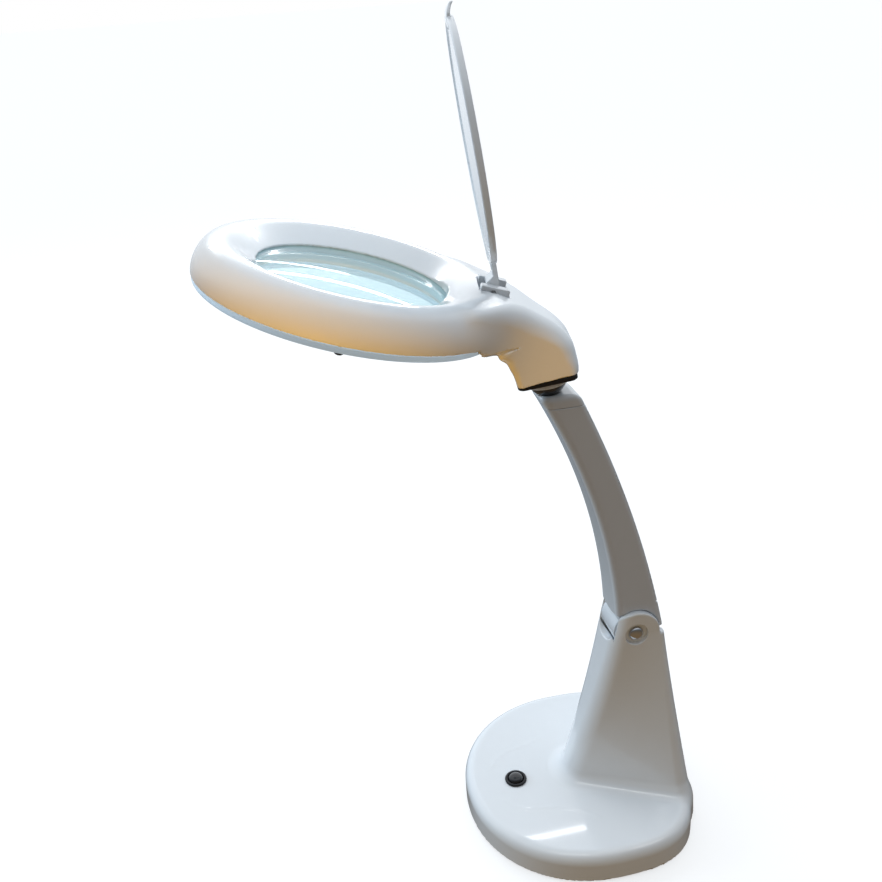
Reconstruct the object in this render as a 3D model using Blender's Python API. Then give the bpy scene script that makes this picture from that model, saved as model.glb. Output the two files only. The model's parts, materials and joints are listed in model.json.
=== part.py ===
"""Bench magnifying lamp: D-shaped weighted base with a moulded tower, pivoting arm,
ball joint, ring-shaped lamp head with a lens, and a hinged lens lid.

Units: metres in Blender, millimetres in the constants and in every helper.
World frame: base underside centre at the origin, front of the lamp towards -Y,
right towards +X, +Z up. Objects named cut_* are hidden boolean operands.
"""
import bpy
import bmesh
from math import acos, asin, atan2, cos, hypot, pi, radians, sin, sqrt
from mathutils import Matrix, Vector

MM = 0.001                  # one millimetre in Blender units

# ------------------------------------------------------------------ driving dimensions (mm)
BASE_HALF_W = 76.8          # half width of the base
BASE_FRONT = 78.7           # front semi-length of the D outline
BASE_REAR = 62.9            # rear semi-length
BASE_EXP_FRONT = 2.1        # superellipse exponents of the two halves
BASE_EXP_REAR = 2.93
BASE_H = 20.3               # top of the base
BASE_FILLET = 7.3
WALL = 2.8
BASE_SCREWS = [(-50, -34), (50, -34), (-52, 34), (52, 34)]

PIVOT = (0.0, 30.36, 133.34)    # arm pivot
EAR_R = 15.2                # rounded top of the two tower ears
EAR_HALF = 17.0             # outer half width across the ears
SLOT_HALF = 12.3            # half width of the slot between the ears
SLOT_FLOOR_Z = 136.6        # centre height of the slot's round bottom
RECESS_R_RIGHT = 7.17       # counterbores of the pivot bolt
RECESS_R_LEFT = 6.9
RECESS_DEPTH = 2.6
TOWER_FLARE = 8.0           # height of the flare at the foot of the tower

BUTTON = (0.0, -46.2)       # push button centre
SOCKET_Z = 10.2             # axis height of the power socket

ARM_BOT_HALF, ARM_TOP_HALF = 14.8, 12.5
ARM_WALL = 2.4
KNUCKLE_R, KNUCKLE_HALF = 13.0, 11.2
# Edge curves of the arm, world (y, z): start, control and end of a quadratic Bezier
ARM_FRONT = ((19.0, 133.0), (16.8, 217.5), (-26.4, 296.4))
ARM_REAR = ((49.2, 133.0), (32.6, 219.0), (-3.6, 296.4))
CABLE_X = 5.5               # cable offset from the arm's middle
CABLE_R = 1.6

RING_C = (0.0, -117.3, 373.2)   # origin of the head frame, before the head is turned
RING_TILT = -16.8
HEAD_YAW = -9.96            # head turned at rest
LENS_OPEN_R = 50.0
LENS_R = 52.5
LENS_BORE_R = LENS_R + 0.6
RING_R = 81.4
SEAM_Z = -15.4              # underside of the ring moulding
TUBE_R, TUBE_SECTION_R, TUBE_Z = 64.6, 5.1, -10.8   # circular lamp tube

# Front and rear ends of the neck's sloping end face, head frame (y, z)
PLATE_A = (97.2, -41.25)
PLATE_B = (126.1, -27.55)
NECK_HALF = 18.0
HINGE = (71.7, 5.55)        # lid pin, head frame (y, z)
LID_OPEN = 66.0             # lid angle at rest, from closed
LID_R = 59.1
LID_REACH = 72.9            # pin to disc centre

BALL_R = 11.2
DOME_R = 8.6                # smaller dome on top of the ball
STEM_BORE_R = 3.3
BALL_IN_HEAD = (113.7, -36.65)  # ball centre, head frame (y, z)

RING_SEGS = 44              # segments round the large head and lid parts

# ------------------------------------------------------------------ derived places
IDENTITY = Matrix.Identity(4)
ALONG_X = Matrix.Rotation(pi / 2, 4, 'Y')                   # local z towards +X
PIVOT_ALONG_X = Matrix.Translation(PIVOT) @ ALONG_X
SOCKET_AXIS = (Matrix.Translation((0, 0, SOCKET_Z))
               @ Matrix.Rotation(-pi / 2, 4, 'X'))          # local z towards the rear
BUTTON_AT = Matrix.Translation((*BUTTON, 0))
STEM = Matrix.Rotation(radians(27.0), 4, 'X')               # ball stem, along the arm's top
HINGE_AT = Matrix.Translation((0, *HINGE))
HINGE_ALONG_X = HINGE_AT @ ALONG_X
TILT = Matrix.Rotation(radians(RING_TILT), 4, 'X')
BALL = Matrix.Translation(RING_C) @ TILT @ Vector((0, *BALL_IN_HEAD))

# Plate frame: origin at the ball centre, y rearward along the plate, z up its normal
PLATE_ANG = atan2(PLATE_B[1] - PLATE_A[1], PLATE_B[0] - PLATE_A[0])
PLATE_COS, PLATE_SIN = cos(PLATE_ANG), sin(PLATE_ANG)
PLATE_OFFSET = Vector((PLATE_A[0] - BALL_IN_HEAD[0], PLATE_A[1] - BALL_IN_HEAD[1]))
PLATE_Y0 = PLATE_OFFSET.x * PLATE_COS + PLATE_OFFSET.y * PLATE_SIN      # front end
PLATE_Y1 = PLATE_Y0 + hypot(PLATE_B[0] - PLATE_A[0], PLATE_B[1] - PLATE_A[1])
NECK_END_Z = -PLATE_OFFSET.x * PLATE_SIN + PLATE_OFFSET.y * PLATE_COS
PLATE_Z0, PLATE_Z1 = NECK_END_Z - 1.5, NECK_END_Z + 1.0
PLATE_SCREW_X = 14.0
PLATE_SCREW_INSET = 3.6
# (side, y, boss height above the plate's top)
PLATE_SCREWS = [(side, y, height) for side in (-1, 1)
                for y, height in ((PLATE_Y0 + PLATE_SCREW_INSET, 7.0),
                                  (PLATE_Y1 - PLATE_SCREW_INSET, 5.0))]

DIFFUSER_SCREW_R = 74.6
DIFFUSER_SCREWS = [(DIFFUSER_SCREW_R * cos(a), DIFFUSER_SCREW_R * sin(a))
                   for a in (0.0, pi, -pi / 2)]

# ------------------------------------------------------------------ clean start
for ob in list(bpy.data.objects):
    bpy.data.objects.remove(ob, do_unlink=True)
for block in (bpy.data.meshes, bpy.data.materials, bpy.data.curves):
    for item in list(block):
        block.remove(item)

# ------------------------------------------------------------------ materials
# name: (base colour, roughness, metallic)
MATERIAL_TABLE = {
    "white_abs": ((0.80, 0.82, 0.85), 0.16, 0.0),
    "black_plastic": ((0.012, 0.012, 0.014), 0.28, 0.0),
    "rubber_black": ((0.03, 0.03, 0.03), 0.85, 0.0),
    "lens_glass": ((0.75, 0.90, 0.93), 0.02, 0.0),
    "diffuser": ((0.72, 0.82, 0.86), 0.30, 0.0),
    "chrome": ((0.85, 0.85, 0.86), 0.08, 1.0),
    "steel": ((0.55, 0.55, 0.57), 0.32, 1.0),
    "cast_iron": ((0.10, 0.10, 0.11), 0.70, 0.8),
    "tube_glass": ((0.93, 0.94, 0.92), 0.20, 0.0),
    "pcb": ((0.04, 0.22, 0.10), 0.50, 0.0),
    "nylon": ((0.82, 0.80, 0.72), 0.50, 0.0),
    "brass": ((0.78, 0.62, 0.30), 0.28, 1.0),
    "reflector_white": ((0.90, 0.90, 0.88), 0.35, 0.0),
    "cable": ((0.60, 0.62, 0.64), 0.60, 0.0),
    "component": ((0.10, 0.12, 0.30), 0.45, 0.0),
}


def make_material(name, colour, roughness, metallic):
    material = bpy.data.materials.new(name)
    material.use_nodes = True
    inputs = material.node_tree.nodes["Principled BSDF"].inputs
    inputs["Base Color"].default_value = (*colour, 1.0)
    inputs["Roughness"].default_value = roughness
    inputs["Metallic"].default_value = metallic
    material.diffuse_color = (*colour, 1.0)
    return material


MATERIALS = {name: make_material(name, *row) for name, row in MATERIAL_TABLE.items()}


# ------------------------------------------------------------------ objects
def finish(name, bm, material=None, parent=None, angle=38.0):
    """Turn a millimetre bmesh into an object; without a material it is a hidden cutter."""
    bmesh.ops.recalc_face_normals(bm, faces=bm.faces)
    for vert in bm.verts:
        vert.co *= MM
    mesh = bpy.data.meshes.new(name)
    bm.to_mesh(mesh)
    bm.free()
    ob = bpy.data.objects.new(name, mesh)
    bpy.context.scene.collection.objects.link(ob)
    if material is None:
        ob.hide_render = True
        ob.display_type = 'WIRE'
    else:
        mesh.materials.append(MATERIALS[material])
        mesh.shade_smooth()
        mesh.set_sharp_from_angle(angle=radians(angle))
    ob.parent = parent
    return ob


def part(name, shape, *args, material=None, parent=None, angle=38.0, **options):
    """Object made of one shape, such as loft or lathe, called with args and options."""
    bm = bmesh.new()
    shape(bm, *args, **options)
    return finish(name, bm, material, parent, angle)


def empty(name, matrix, parent=None):
    """Axis empty placed by a millimetre matrix relative to its parent."""
    ob = bpy.data.objects.new(name, None)
    bpy.context.scene.collection.objects.link(ob)
    ob.empty_display_size = 0.01
    ob.parent = parent
    local = matrix.copy()
    local.translation = matrix.translation * MM
    ob.matrix_local = local
    return ob


def boolean(target, other, operation='DIFFERENCE'):
    modifier = target.modifiers.new(operation.lower(), 'BOOLEAN')
    modifier.operation = operation
    modifier.object = other
    modifier.solver = 'EXACT'


# ------------------------------------------------------------------ solid shapes
def loft(bm, rings, at=IDENTITY, closed=False):
    """Skin rings of equal point count; cap both ends, or join last to first if closed."""
    loops = [[bm.verts.new(at @ Vector(p)) for p in ring] for ring in rings]
    count = len(loops[0])
    pairs = list(zip(loops[:-1], loops[1:]))
    if closed:
        pairs.append((loops[-1], loops[0]))
    for a, b in pairs:
        for i in range(count):
            j = (i + 1) % count
            bm.faces.new((a[i], a[j], b[j], b[i]))
    if not closed:
        bm.faces.new(list(reversed(loops[0])))
        bm.faces.new(loops[-1])


def lathe(bm, profile, segs, at=IDENTITY):
    """Turn a closed (radius, z) profile about z. Points with radius 0 become poles."""
    columns = []
    poles = {}
    for k in range(segs):
        a = 2 * pi * k / segs
        column = []
        for i, (radius, z) in enumerate(profile):
            if radius < 1e-6:
                if i not in poles:
                    poles[i] = bm.verts.new(at @ Vector((0, 0, z)))
                column.append(poles[i])
            else:
                column.append(bm.verts.new(at @ Vector((radius * cos(a), radius * sin(a), z))))
        columns.append(column)
    for k in range(segs):
        here, following = columns[k], columns[(k + 1) % segs]
        for i in range(len(profile)):
            j = (i + 1) % len(profile)
            # at a pole the quad shrinks to a triangle or an edge
            corners = list(dict.fromkeys((here[i], following[i], following[j], here[j])))
            if len(corners) >= 3:
                bm.faces.new(corners)


def cylinder(bm, radius, z0, z1, segs, at=IDENTITY, centre=(0, 0)):
    outline = [(centre[0] + radius * cos(2 * pi * k / segs),
                centre[1] + radius * sin(2 * pi * k / segs)) for k in range(segs)]
    loft(bm, [at_z(outline, z) for z in (z0, z1)], at)


def cylinders(bm, radius, z0, z1, segs, centres):
    for centre in centres:
        cylinder(bm, radius, z0, z1, segs, centre=centre)


def box(bm, low, high):
    (x0, y0, z0), (x1, y1, z1) = low, high
    outline = [(x0, y0), (x1, y0), (x1, y1), (x0, y1)]
    loft(bm, [at_z(outline, z) for z in (z0, z1)])


def hex_nut(bm, flat_r, bore_r, z0, z1, at):
    """Hexagonal nut; flat_r is half the width across its flats."""
    angles = [2 * pi * k / 24 for k in range(24)]
    outer = []
    for a in angles:
        radius = flat_r / cos((a % (pi / 3)) - pi / 6)
        outer.append((radius * cos(a), radius * sin(a)))
    inner = [(bore_r * cos(a), bore_r * sin(a)) for a in angles]
    rings = [at_z(outer, z0), at_z(outer, z1), at_z(inner, z1), at_z(inner, z0)]
    loft(bm, rings, at, closed=True)


# ------------------------------------------------------------------ outlines
def at_z(outline, z):
    return [(x, y, z) for x, y in outline]


def along_x(outline, half):
    """The two end rings of a prism along x, from a (y, z) outline."""
    return [[(x, y, z) for y, z in outline] for x in (-half, half)]


def arc_points(cx, cy, radius, a0, a1, steps):
    return [(cx + radius * cos(a0 + (a1 - a0) * k / steps),
             cy + radius * sin(a0 + (a1 - a0) * k / steps)) for k in range(steps + 1)]


def arc_band(first_r, second_r, start, end, steps):
    """Closed band about the origin: out along first_r, back along second_r; degrees."""
    a0, a1 = radians(start), radians(end)
    return arc_points(0, 0, first_r, a0, a1, steps) + arc_points(0, 0, second_r, a1, a0, steps)


def tube_profile(inner_r, outer_r, z0, z1):
    return [(inner_r, z0), (outer_r, z0), (outer_r, z1), (inner_r, z1)]


def rounded_rect(half_w, y0, y1, radius, steps=2):
    """Counter-clockwise rounded rectangle, x in -half_w..half_w, y in y0..y1."""
    x, low, high = half_w - radius, y0 + radius, y1 - radius
    return (arc_points(x, low, radius, -pi / 2, 0, steps)
            + arc_points(x, high, radius, 0, pi / 2, steps)
            + arc_points(-x, high, radius, pi / 2, pi, steps)
            + arc_points(-x, low, radius, pi, 3 * pi / 2, steps))


def circle_points(radius, segs=8):
    return [(radius * cos(2 * pi * j / segs), radius * sin(2 * pi * j / segs))
            for j in range(segs)]


def signed_power(value, exponent):
    return (1 if value >= 0 else -1) * abs(value) ** exponent


def bezier(start, control, end, t):
    """Point on a quadratic Bezier curve in any number of dimensions."""
    return tuple((1 - t) ** 2 * a + 2 * t * (1 - t) * b + t * t * c
                 for a, b, c in zip(start, control, end))


def direction(near, far):
    """Unit vector and distance from near to far, both (y, z)."""
    span = Vector((far[0] - near[0], far[1] - near[1]))
    return span / span.length, span.length


def d_outline(inset, count):
    """D-shaped base outline: a superellipse with its own front and rear halves."""
    points = []
    for k in range(count):
        t = 2 * pi * (k + 0.5) / count
        c, s = cos(t), sin(t)
        semi, power = (BASE_REAR, BASE_EXP_REAR) if s >= 0 else (BASE_FRONT, BASE_EXP_FRONT)
        x = BASE_HALF_W * signed_power(c, 2 / power)
        y = semi * signed_power(s, 2 / power)
        # outward normal, for the inset
        nx = signed_power(x / BASE_HALF_W, power - 1) / BASE_HALF_W
        ny = signed_power(y / semi, power - 1) / semi
        length = hypot(nx, ny)
        points.append((x - inset * nx / length, y - inset * ny / length))
    return points


def d_layers(levels, count=44):
    """Rings of the base outline at a list of (z, inset)."""
    return [at_z(d_outline(inset, count), z) for z, inset in levels]


def hull_section(front_y, rear_y, front_r, front_x, rear_half, rear_r, inset):
    """Outline round four circles: a front pair at +-front_x and a wider rear pair."""
    front = Vector((front_x, front_y + front_r))
    rear = Vector((rear_half - rear_r, rear_y - rear_r))
    r1, r2 = front_r - inset, rear_r - inset
    span = rear - front
    unit = span / span.length
    # normal of the tangent line that touches both circles on the right
    c = (r1 - r2) / span.length
    s = sqrt(1 - c * c)
    normal = Vector((unit.x * c + unit.y * s, unit.y * c - unit.x * s))
    angle = atan2(normal.y, normal.x)
    half = arc_points(front.x, front.y, r1, -pi / 2, angle, 4)
    rear_arc = arc_points(rear.x, rear.y, r2, angle, pi / 2, 2)
    (x0, y0), (x1, y1) = half[-1], rear_arc[0]
    half.append((x0 + (x1 - x0) * 0.5, y0 + (y1 - y0) * 0.5))
    half += rear_arc
    return half + [(-x, y) for x, y in reversed(half)]


def tower_section(z, inset=0.0, flare=0.0):
    """Horizontal section of the tower, widening downwards from z = 133 to z = 25."""
    drop = 133.0 - z
    spread = min(max(drop / 108.0, 0.0), 1.0)
    front_y = 16.3 - 0.208 * drop - 0.0006 * drop * abs(drop)
    rear_y = 49.0 + 0.105 * max(drop, -6)
    front_r = 9.0 + 6.0 * spread
    front_x = 8.0 * (1 - spread) + 0.02
    rear_half = EAR_HALF + 24.5 * spread ** 1.25
    rear_r = 4.0 + 4.0 * spread
    return hull_section(front_y - flare, min(rear_y + flare, 59.5), front_r + flare, front_x,
                        rear_half + flare, rear_r + 0.3 * flare, inset)


# ------------------------------------------------------------------ axes
BALL_AT = Matrix.Translation(BALL - Vector(PIVOT))
ARM_AXIS = empty("arm_axis", Matrix.Translation(PIVOT))
BUTTON_AXIS = empty("button_axis", Matrix.Translation((*BUTTON, BASE_H)))
BALL_AXIS = empty("ball_axis", BALL_AT, ARM_AXIS)
# tilt and swivel of the head ride on the ball centre
HEAD_AXIS = empty("head_axis", BALL_AT @ Matrix.Rotation(radians(HEAD_YAW), 4, 'Z'), ARM_AXIS)
PLATE_FRAME = empty("plate_frame", Matrix.Rotation(radians(RING_TILT) + PLATE_ANG, 4, 'X'),
                    HEAD_AXIS)
HEAD_FRAME = empty("head_frame",
                   TILT @ Matrix.Translation((0, -BALL_IN_HEAD[0], -BALL_IN_HEAD[1])), HEAD_AXIS)
LID_AXIS = empty("lid_axis", HINGE_AT @ Matrix.Rotation(radians(-LID_OPEN), 4, 'X'), HEAD_FRAME)


# ================================================================== BASE
def tower_solid():
    rings = []
    for z in (8.0, 20.5, 21.4, 23.0, 25.6, 28.6, 46.0, 66.0, 88.0, 110.0, 133.0, 150.0):
        flare = 0.0
        if z < BASE_H + TOWER_FLARE:
            q = min(1.0, (BASE_H + TOWER_FLARE - max(z, BASE_H)) / TOWER_FLARE)
            flare = TOWER_FLARE * 0.8 * (1 - sqrt(1 - q * q))
        rings.append(at_z(tower_section(z, flare=flare), z))
    tower = part("cut_tower_solid", loft, rings)

    # side profile that rounds the tops of the ears about the pivot, (y, z)
    shoulder_z = PIVOT[2] - 2
    a0 = asin(-2 / EAR_R)
    outline = [(-60, -20), (100, -20), (100, shoulder_z)]
    outline += arc_points(PIVOT[1], PIVOT[2], EAR_R, a0, pi - a0, 16)
    outline.append((-60, shoulder_z))
    boolean(tower, part("cut_ear_profile", loft, along_x(outline, 60)), 'INTERSECT')
    return tower


def base_hollow():
    """Base tray and tower core in one cutter."""
    tray = ((-2, WALL), (11.5, WALL), (15.6, WALL + 1.8), (17.4, WALL + 6.0))   # (z, inset)
    core = part("cut_base_core", loft, d_layers(tray))
    rings = [at_z(tower_section(z, inset=WALL), z) for z in (9.0, 40, 75, 108)]
    boolean(core, part("cut_tower_core", loft, rings), 'UNION')
    return core


def ear_slot():
    """Round-bottomed slot between the ears, with room round the arm knuckle."""
    outline = [(SLOT_HALF, 170.0), (-SLOT_HALF, 170.0)]     # (x, z)
    outline += arc_points(0, SLOT_FLOOR_Z, SLOT_HALF, pi, 2 * pi, 12)
    knuckle_room = part("cut_slot_round", cylinder, 14.2, -SLOT_HALF, SLOT_HALF, 28,
                        at=PIVOT_ALONG_X)
    slot = part("cut_slot_u", loft, [[(x, y, z) for x, z in outline] for y in (-20, 90)])
    boolean(slot, knuckle_room, 'UNION')
    return slot


def pivot_recesses():
    floor = EAR_HALF - RECESS_DEPTH
    bm = bmesh.new()
    cylinder(bm, RECESS_R_RIGHT, floor, 30, 24, at=PIVOT_ALONG_X)
    cylinder(bm, RECESS_R_LEFT, -30, -floor, 24, at=PIVOT_ALONG_X)
    return finish("cut_recess", bm)


def base_bores():
    """Cable way, button hole, screw pilots and power socket hole."""
    bm = bmesh.new()
    cylinder(bm, 3.0, 100, 122, 12, centre=(0, 24))
    cylinder(bm, 6.6, 10, 26, 24, centre=BUTTON)
    cylinders(bm, 1.55, 3.0, 14.0, 8, BASE_SCREWS)
    cylinder(bm, 4.3, 52, 70, 16, at=SOCKET_AXIS)
    return finish("cut_bores", bm)


def build_base_shell():
    """Base cover and tower, one moulding."""
    edge_z = BASE_H - BASE_FILLET
    levels = [(0.9, 0.9), (1.7, 0.1), (2.4, 0.0), (edge_z, 0.0)]    # (z, inset)
    for k in range(1, 5):
        a = k * pi / 8
        levels.append((edge_z + BASE_FILLET * sin(a), BASE_FILLET * (1 - cos(a))))
    shell = part("base_shell", loft, d_layers(levels), material="white_abs", angle=30)
    boolean(shell, tower_solid(), 'UNION')
    boolean(shell, base_hollow())
    boolean(shell, part("cut_posts", cylinders, 3.6, 4.4, 18.6, 12, BASE_SCREWS), 'UNION')
    boolean(shell, ear_slot())
    boolean(shell, part("cut_pivot_bore", cylinder, 3.3, -25, 25, 16, at=PIVOT_ALONG_X))
    boolean(shell, pivot_recesses())
    boolean(shell, base_bores())


def build_base_underside():
    """Non-slip pad, bottom plate and the four screws."""
    part("base_pad", loft, d_layers(((0.0, 5.0), (1.3, 5.0)), 32), material="rubber_black")
    plate = part("base_bottom_plate", loft, d_layers(((1.6, 3.2), (4.0, 3.2)), 36),
                 material="white_abs")
    hole = [(0, 1.0), (3.3, 1.0), (3.3, 2.9), (1.9, 2.9), (1.9, 5.0), (0, 5.0)]
    bm = bmesh.new()
    for x, y in BASE_SCREWS:
        lathe(bm, hole, 12, at=Matrix.Translation((x, y, 0)))
    boolean(plate, finish("cut_plate_holes", bm))

    screw = [(0, 1.6), (2.4, 1.6), (2.9, 1.9), (2.9, 2.6), (1.25, 2.6), (1.25, 12.0),
             (0.6, 13.0), (0, 13.0)]
    for i, (x, y) in enumerate(BASE_SCREWS, 1):
        part(f"base_screw_{i}", lathe, screw, 10, at=Matrix.Translation((x, y, 0)),
             material="steel")


def build_weight():
    """Cast weight, cleared round the screw posts, switch and power socket."""
    weight = part("base_weight", loft, d_layers(((4.5, 4.6), (11.4, 4.6)), 32),
                  material="cast_iron")
    bm = bmesh.new()
    cylinders(bm, 4.4, 3, 13, 10, BASE_SCREWS)
    cylinder(bm, 10.5, 3, 13, 16, centre=BUTTON)
    box(bm, (-9, 40, 3), (9, 70, 13))
    boolean(weight, finish("cut_weight", bm))


def build_power_socket():
    """Socket block with a round, ring-bored nose in the rear wall."""
    socket = part("power_socket", box, (-6, 45, 5.0), (6, 56.5, 15.0), material="black_plastic")
    nose = part("cut_socket_tube", cylinder, 4.0, 55, 62.7, 16, at=SOCKET_AXIS)
    bore = [(1.0, 49), (1.0, 66), (2.9, 66), (2.9, 49)]     # leaves a centre pin
    boolean(socket, nose, 'UNION')
    boolean(socket, part("cut_socket_bore", lathe, bore, 14, at=SOCKET_AXIS))


def build_ballast():
    """Ballast board and its parts, inside the foot of the tower."""
    parts_z = 14.1
    part("ballast_board", box, (-19, 4, 12.2), (19, 43, 13.8), material="pcb")
    choke = rounded_rect(8, 24, 41, 1.5)
    part("ballast_choke", loft, [at_z(choke, z) for z in (parts_z, 32.0)],
         material="component")
    capacitor = [(0, parts_z), (4.6, parts_z), (5.0, 14.6), (5.0, 31.5), (4.4, 32.2), (0, 32.2)]
    part("ballast_capacitor", lathe, capacitor, 14, at=Matrix.Translation((-9, 13, 0)),
         material="component")
    part("lamp_terminal", box, (4, 9, parts_z), (13, 18, 18.0), material="nylon")


def build_switch():
    """Push switch: bezel body, nut and domed button."""
    body = [(0, 6.2), (5.6, 6.2), (6.2, 7.0), (6.2, BASE_H + 0.25), (7.2, BASE_H + 0.25),
            (7.2, BASE_H + 0.9), (6.7, BASE_H + 1.5), (5.9, BASE_H + 1.6),
            (5.4, BASE_H + 1.2), (5.4, 10.6), (0, 10.6)]
    part("switch_body", lathe, body, 20, at=BUTTON_AT, material="black_plastic")
    part("switch_nut", hex_nut, flat_r=8.3, bore_r=6.5, z0=14.6, z1=17.0, at=BUTTON_AT,
         material="steel")
    button = [(0, 3.9), (1.6, 3.75), (3.0, 3.2), (4.2, 2.3), (4.9, 1.2), (5.1, 0.2),
              (5.1, -6.6), (3.0, -6.6), (3.0, -7.4), (0, -7.4)]
    part("switch_button", lathe, button, 20, material="black_plastic", parent=BUTTON_AXIS)


def build_pivot_hardware():
    """Domed bolt with its head on the right, nut on the left, and two washers."""
    bolt = [(0, 17.9), (1.6, 17.75), (3.0, 17.1), (4.1, 16.1), (4.7, 15.0), (4.7, 14.6),
            (3.0, 14.6), (3.0, -16.4), (2.4, -16.9), (0, -16.9)]
    part("pivot_bolt", lathe, bolt, 18, at=PIVOT_ALONG_X, material="chrome")
    part("pivot_nut", hex_nut, flat_r=5.0, bore_r=3.2, z0=-16.6, z1=-14.7, at=PIVOT_ALONG_X,
         material="chrome")
    for side, x0, x1 in (("right", 11.35, 12.1), ("left", -12.1, -11.35)):
        part(f"friction_washer_{side}", lathe, tube_profile(3.4, 9.0, x0, x1), 20,
             at=PIVOT_ALONG_X, material="nylon")


# ================================================================== ARM
def arm_ring(t, outline):
    """Ring across the arm at curve parameter t, in the arm frame.

    outline(half_width, depth) gives (x, distance behind the front edge) points.
    """
    front, rear = bezier(*ARM_FRONT, t), bezier(*ARM_REAR, t)
    back, depth = direction(front, rear)
    half_width = ARM_BOT_HALF + (ARM_TOP_HALF - ARM_BOT_HALF) * t
    return [(x - PIVOT[0], front[0] + back.x * s - PIVOT[1], front[1] + back.y * s - PIVOT[2])
            for x, s in outline(half_width, depth)]


def arm_section(t, inset=0.0, rear_extra=0.0, corner=4.6):
    """Rounded rectangle between the front and rear edge curves at t."""
    return arm_ring(t, lambda half_width, depth: rounded_rect(
        half_width - inset, inset, depth - inset + rear_extra, corner - inset))


def ear_clearance():
    """Discs either side of the knuckle, where the tower ears turn."""
    bm = bmesh.new()
    for x0, x1 in ((KNUCKLE_HALF, 24), (-24, -KNUCKLE_HALF)):
        cylinder(bm, EAR_R + 0.6, x0, x1, 32, at=ALONG_X)
    return finish("cut_ear_clear", bm, parent=ARM_AXIS)


def web_trim():
    """Cutter that clears the rear of the middle web from the tower's rear lip."""
    ring = tube_profile(KNUCKLE_R + 0.6, 30, -KNUCKLE_HALF - 0.4, KNUCKLE_HALF + 0.4)
    zone = ((40, -20), (40, 16.5), (11.0, 16.5), (9.5, 2.0), (9.5, -20))    # (y, z)
    ring_cutter = part("cut_web_ring", lathe, ring, 32, at=ALONG_X, parent=ARM_AXIS)
    trim = part("cut_web_zone", loft, along_x(zone, 14), parent=ARM_AXIS)
    boolean(trim, ring_cutter, 'INTERSECT')
    return trim


def build_arm_shell():
    """Front and side channel of the arm with its knuckle; returns the shell."""
    stations = (0.0, 0.10, 0.22, 0.36, 0.50, 0.64, 0.78, 0.90, 0.962)
    channel_stations = (0.155, 0.28, 0.42, 0.56, 0.70, 0.84, 0.935)
    shell = part("arm_shell", loft, [arm_section(t) for t in stations], material="white_abs",
                 parent=ARM_AXIS, angle=40)
    boolean(shell, ear_clearance())
    boolean(shell, part("cut_arm_foot", box, (-30, -40, -30), (30, 40, 0.4), parent=ARM_AXIS))
    boolean(shell, part("cut_knuckle", cylinder, KNUCKLE_R, -KNUCKLE_HALF, KNUCKLE_HALF, 32,
                        at=ALONG_X, parent=ARM_AXIS), 'UNION')
    boolean(shell, web_trim())
    # channel for core, cable and rear cover, open at the rear
    channel = [arm_section(t, inset=ARM_WALL, rear_extra=9.0, corner=3.2)
               for t in channel_stations]
    boolean(shell, part("cut_channel", loft, channel, parent=ARM_AXIS))
    boolean(shell, part("cut_bush_bore", cylinder, 4.5, -20, 20, 20, at=ALONG_X,
                        parent=ARM_AXIS))
    boolean(shell, part("cut_arm_cableway", cylinder, 2.4, 6.0, 34.0, 10,
                        centre=(CABLE_X, 1.0), parent=ARM_AXIS))
    return shell


def build_arm_rear_cover():
    def outline(half_width, depth):
        half = half_width - ARM_WALL - 0.3
        return [(-half, depth - ARM_WALL), (half, depth - ARM_WALL), (half, depth - 0.5),
                (half - 1.2, depth), (-half + 1.2, depth), (-half, depth - 0.5)]

    stations = (0.16, 0.26, 0.36, 0.46, 0.56, 0.66, 0.76, 0.86, 0.93)
    part("arm_rear_cover", loft, [arm_ring(t, outline) for t in stations],
         material="white_abs", parent=ARM_AXIS, angle=40)


def build_arm_inside():
    """Steel core strip, cable and pivot bush."""
    strip = [(-8, 3.2), (8, 3.2), (8, 5.2), (-8, 5.2)]
    rings = [arm_ring(t, lambda *_: strip) for t in (0.18, 0.3, 0.42, 0.54, 0.66, 0.78, 0.87)]
    part("arm_core", loft, rings, material="steel", parent=ARM_AXIS)

    cable_depth = 7.8
    cable = [(CABLE_X + x, cable_depth + s) for x, s in circle_points(CABLE_R)]
    rings = [arm_ring(0.17 + 0.69 * k / 10, lambda *_: cable) for k in range(11)]
    part("arm_cable", loft, rings, material="cable", parent=ARM_AXIS)

    part("pivot_bush", lathe, tube_profile(3.25, 4.2, -11.0, 11.0), 20, at=ALONG_X,
         material="brass", parent=ARM_AXIS)


def build_arm_top_cap(arm_shell):
    """Crowned cap with a dished seat for the ball; the stem bore also enters the shell."""
    stations = ((0.966, 0.0), (0.994, 0.0), (1.004, 1.0), (1.009, 2.6))     # (t, inset)
    cap = part("arm_top_cap", loft, [arm_section(t, inset) for t, inset in stations],
               material="white_abs", parent=ARM_AXIS, angle=35)
    seat_r = BALL_R + 0.35
    seat = [(0, 14), (seat_r, 14)]
    seat += arc_points(0, 0, seat_r, 0, -pi / 2, 6)[:-1] + [(0, -seat_r)]
    boolean(cap, part("cut_seat", lathe, seat, 24, parent=BALL_AXIS))
    stem_bore = part("cut_stem_bore", cylinder, STEM_BORE_R, -32, 0, 14, at=STEM,
                     parent=BALL_AXIS)
    boolean(cap, stem_bore)
    boolean(arm_shell, stem_bore)


# ================================================================== BALL JOINT
def build_ball():
    """Ball fixed on the arm: big lower ball, smaller concentric dome above."""
    dome_end = radians(52)
    profile = arc_points(0, 0, BALL_R, -acos(STEM_BORE_R / BALL_R), asin(0.5 / BALL_R), 6)
    profile += arc_points(0, 0, DOME_R, asin(0.9 / DOME_R), dome_end, 3)
    profile.append((STEM_BORE_R, DOME_R * sin(dome_end)))
    ball = part("ball", lathe, profile, 24, material="black_plastic", parent=BALL_AXIS)
    boolean(ball, part("cut_ball_stem", cylinder, STEM_BORE_R, -32, 16, 14, at=STEM,
                       parent=BALL_AXIS))


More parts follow.
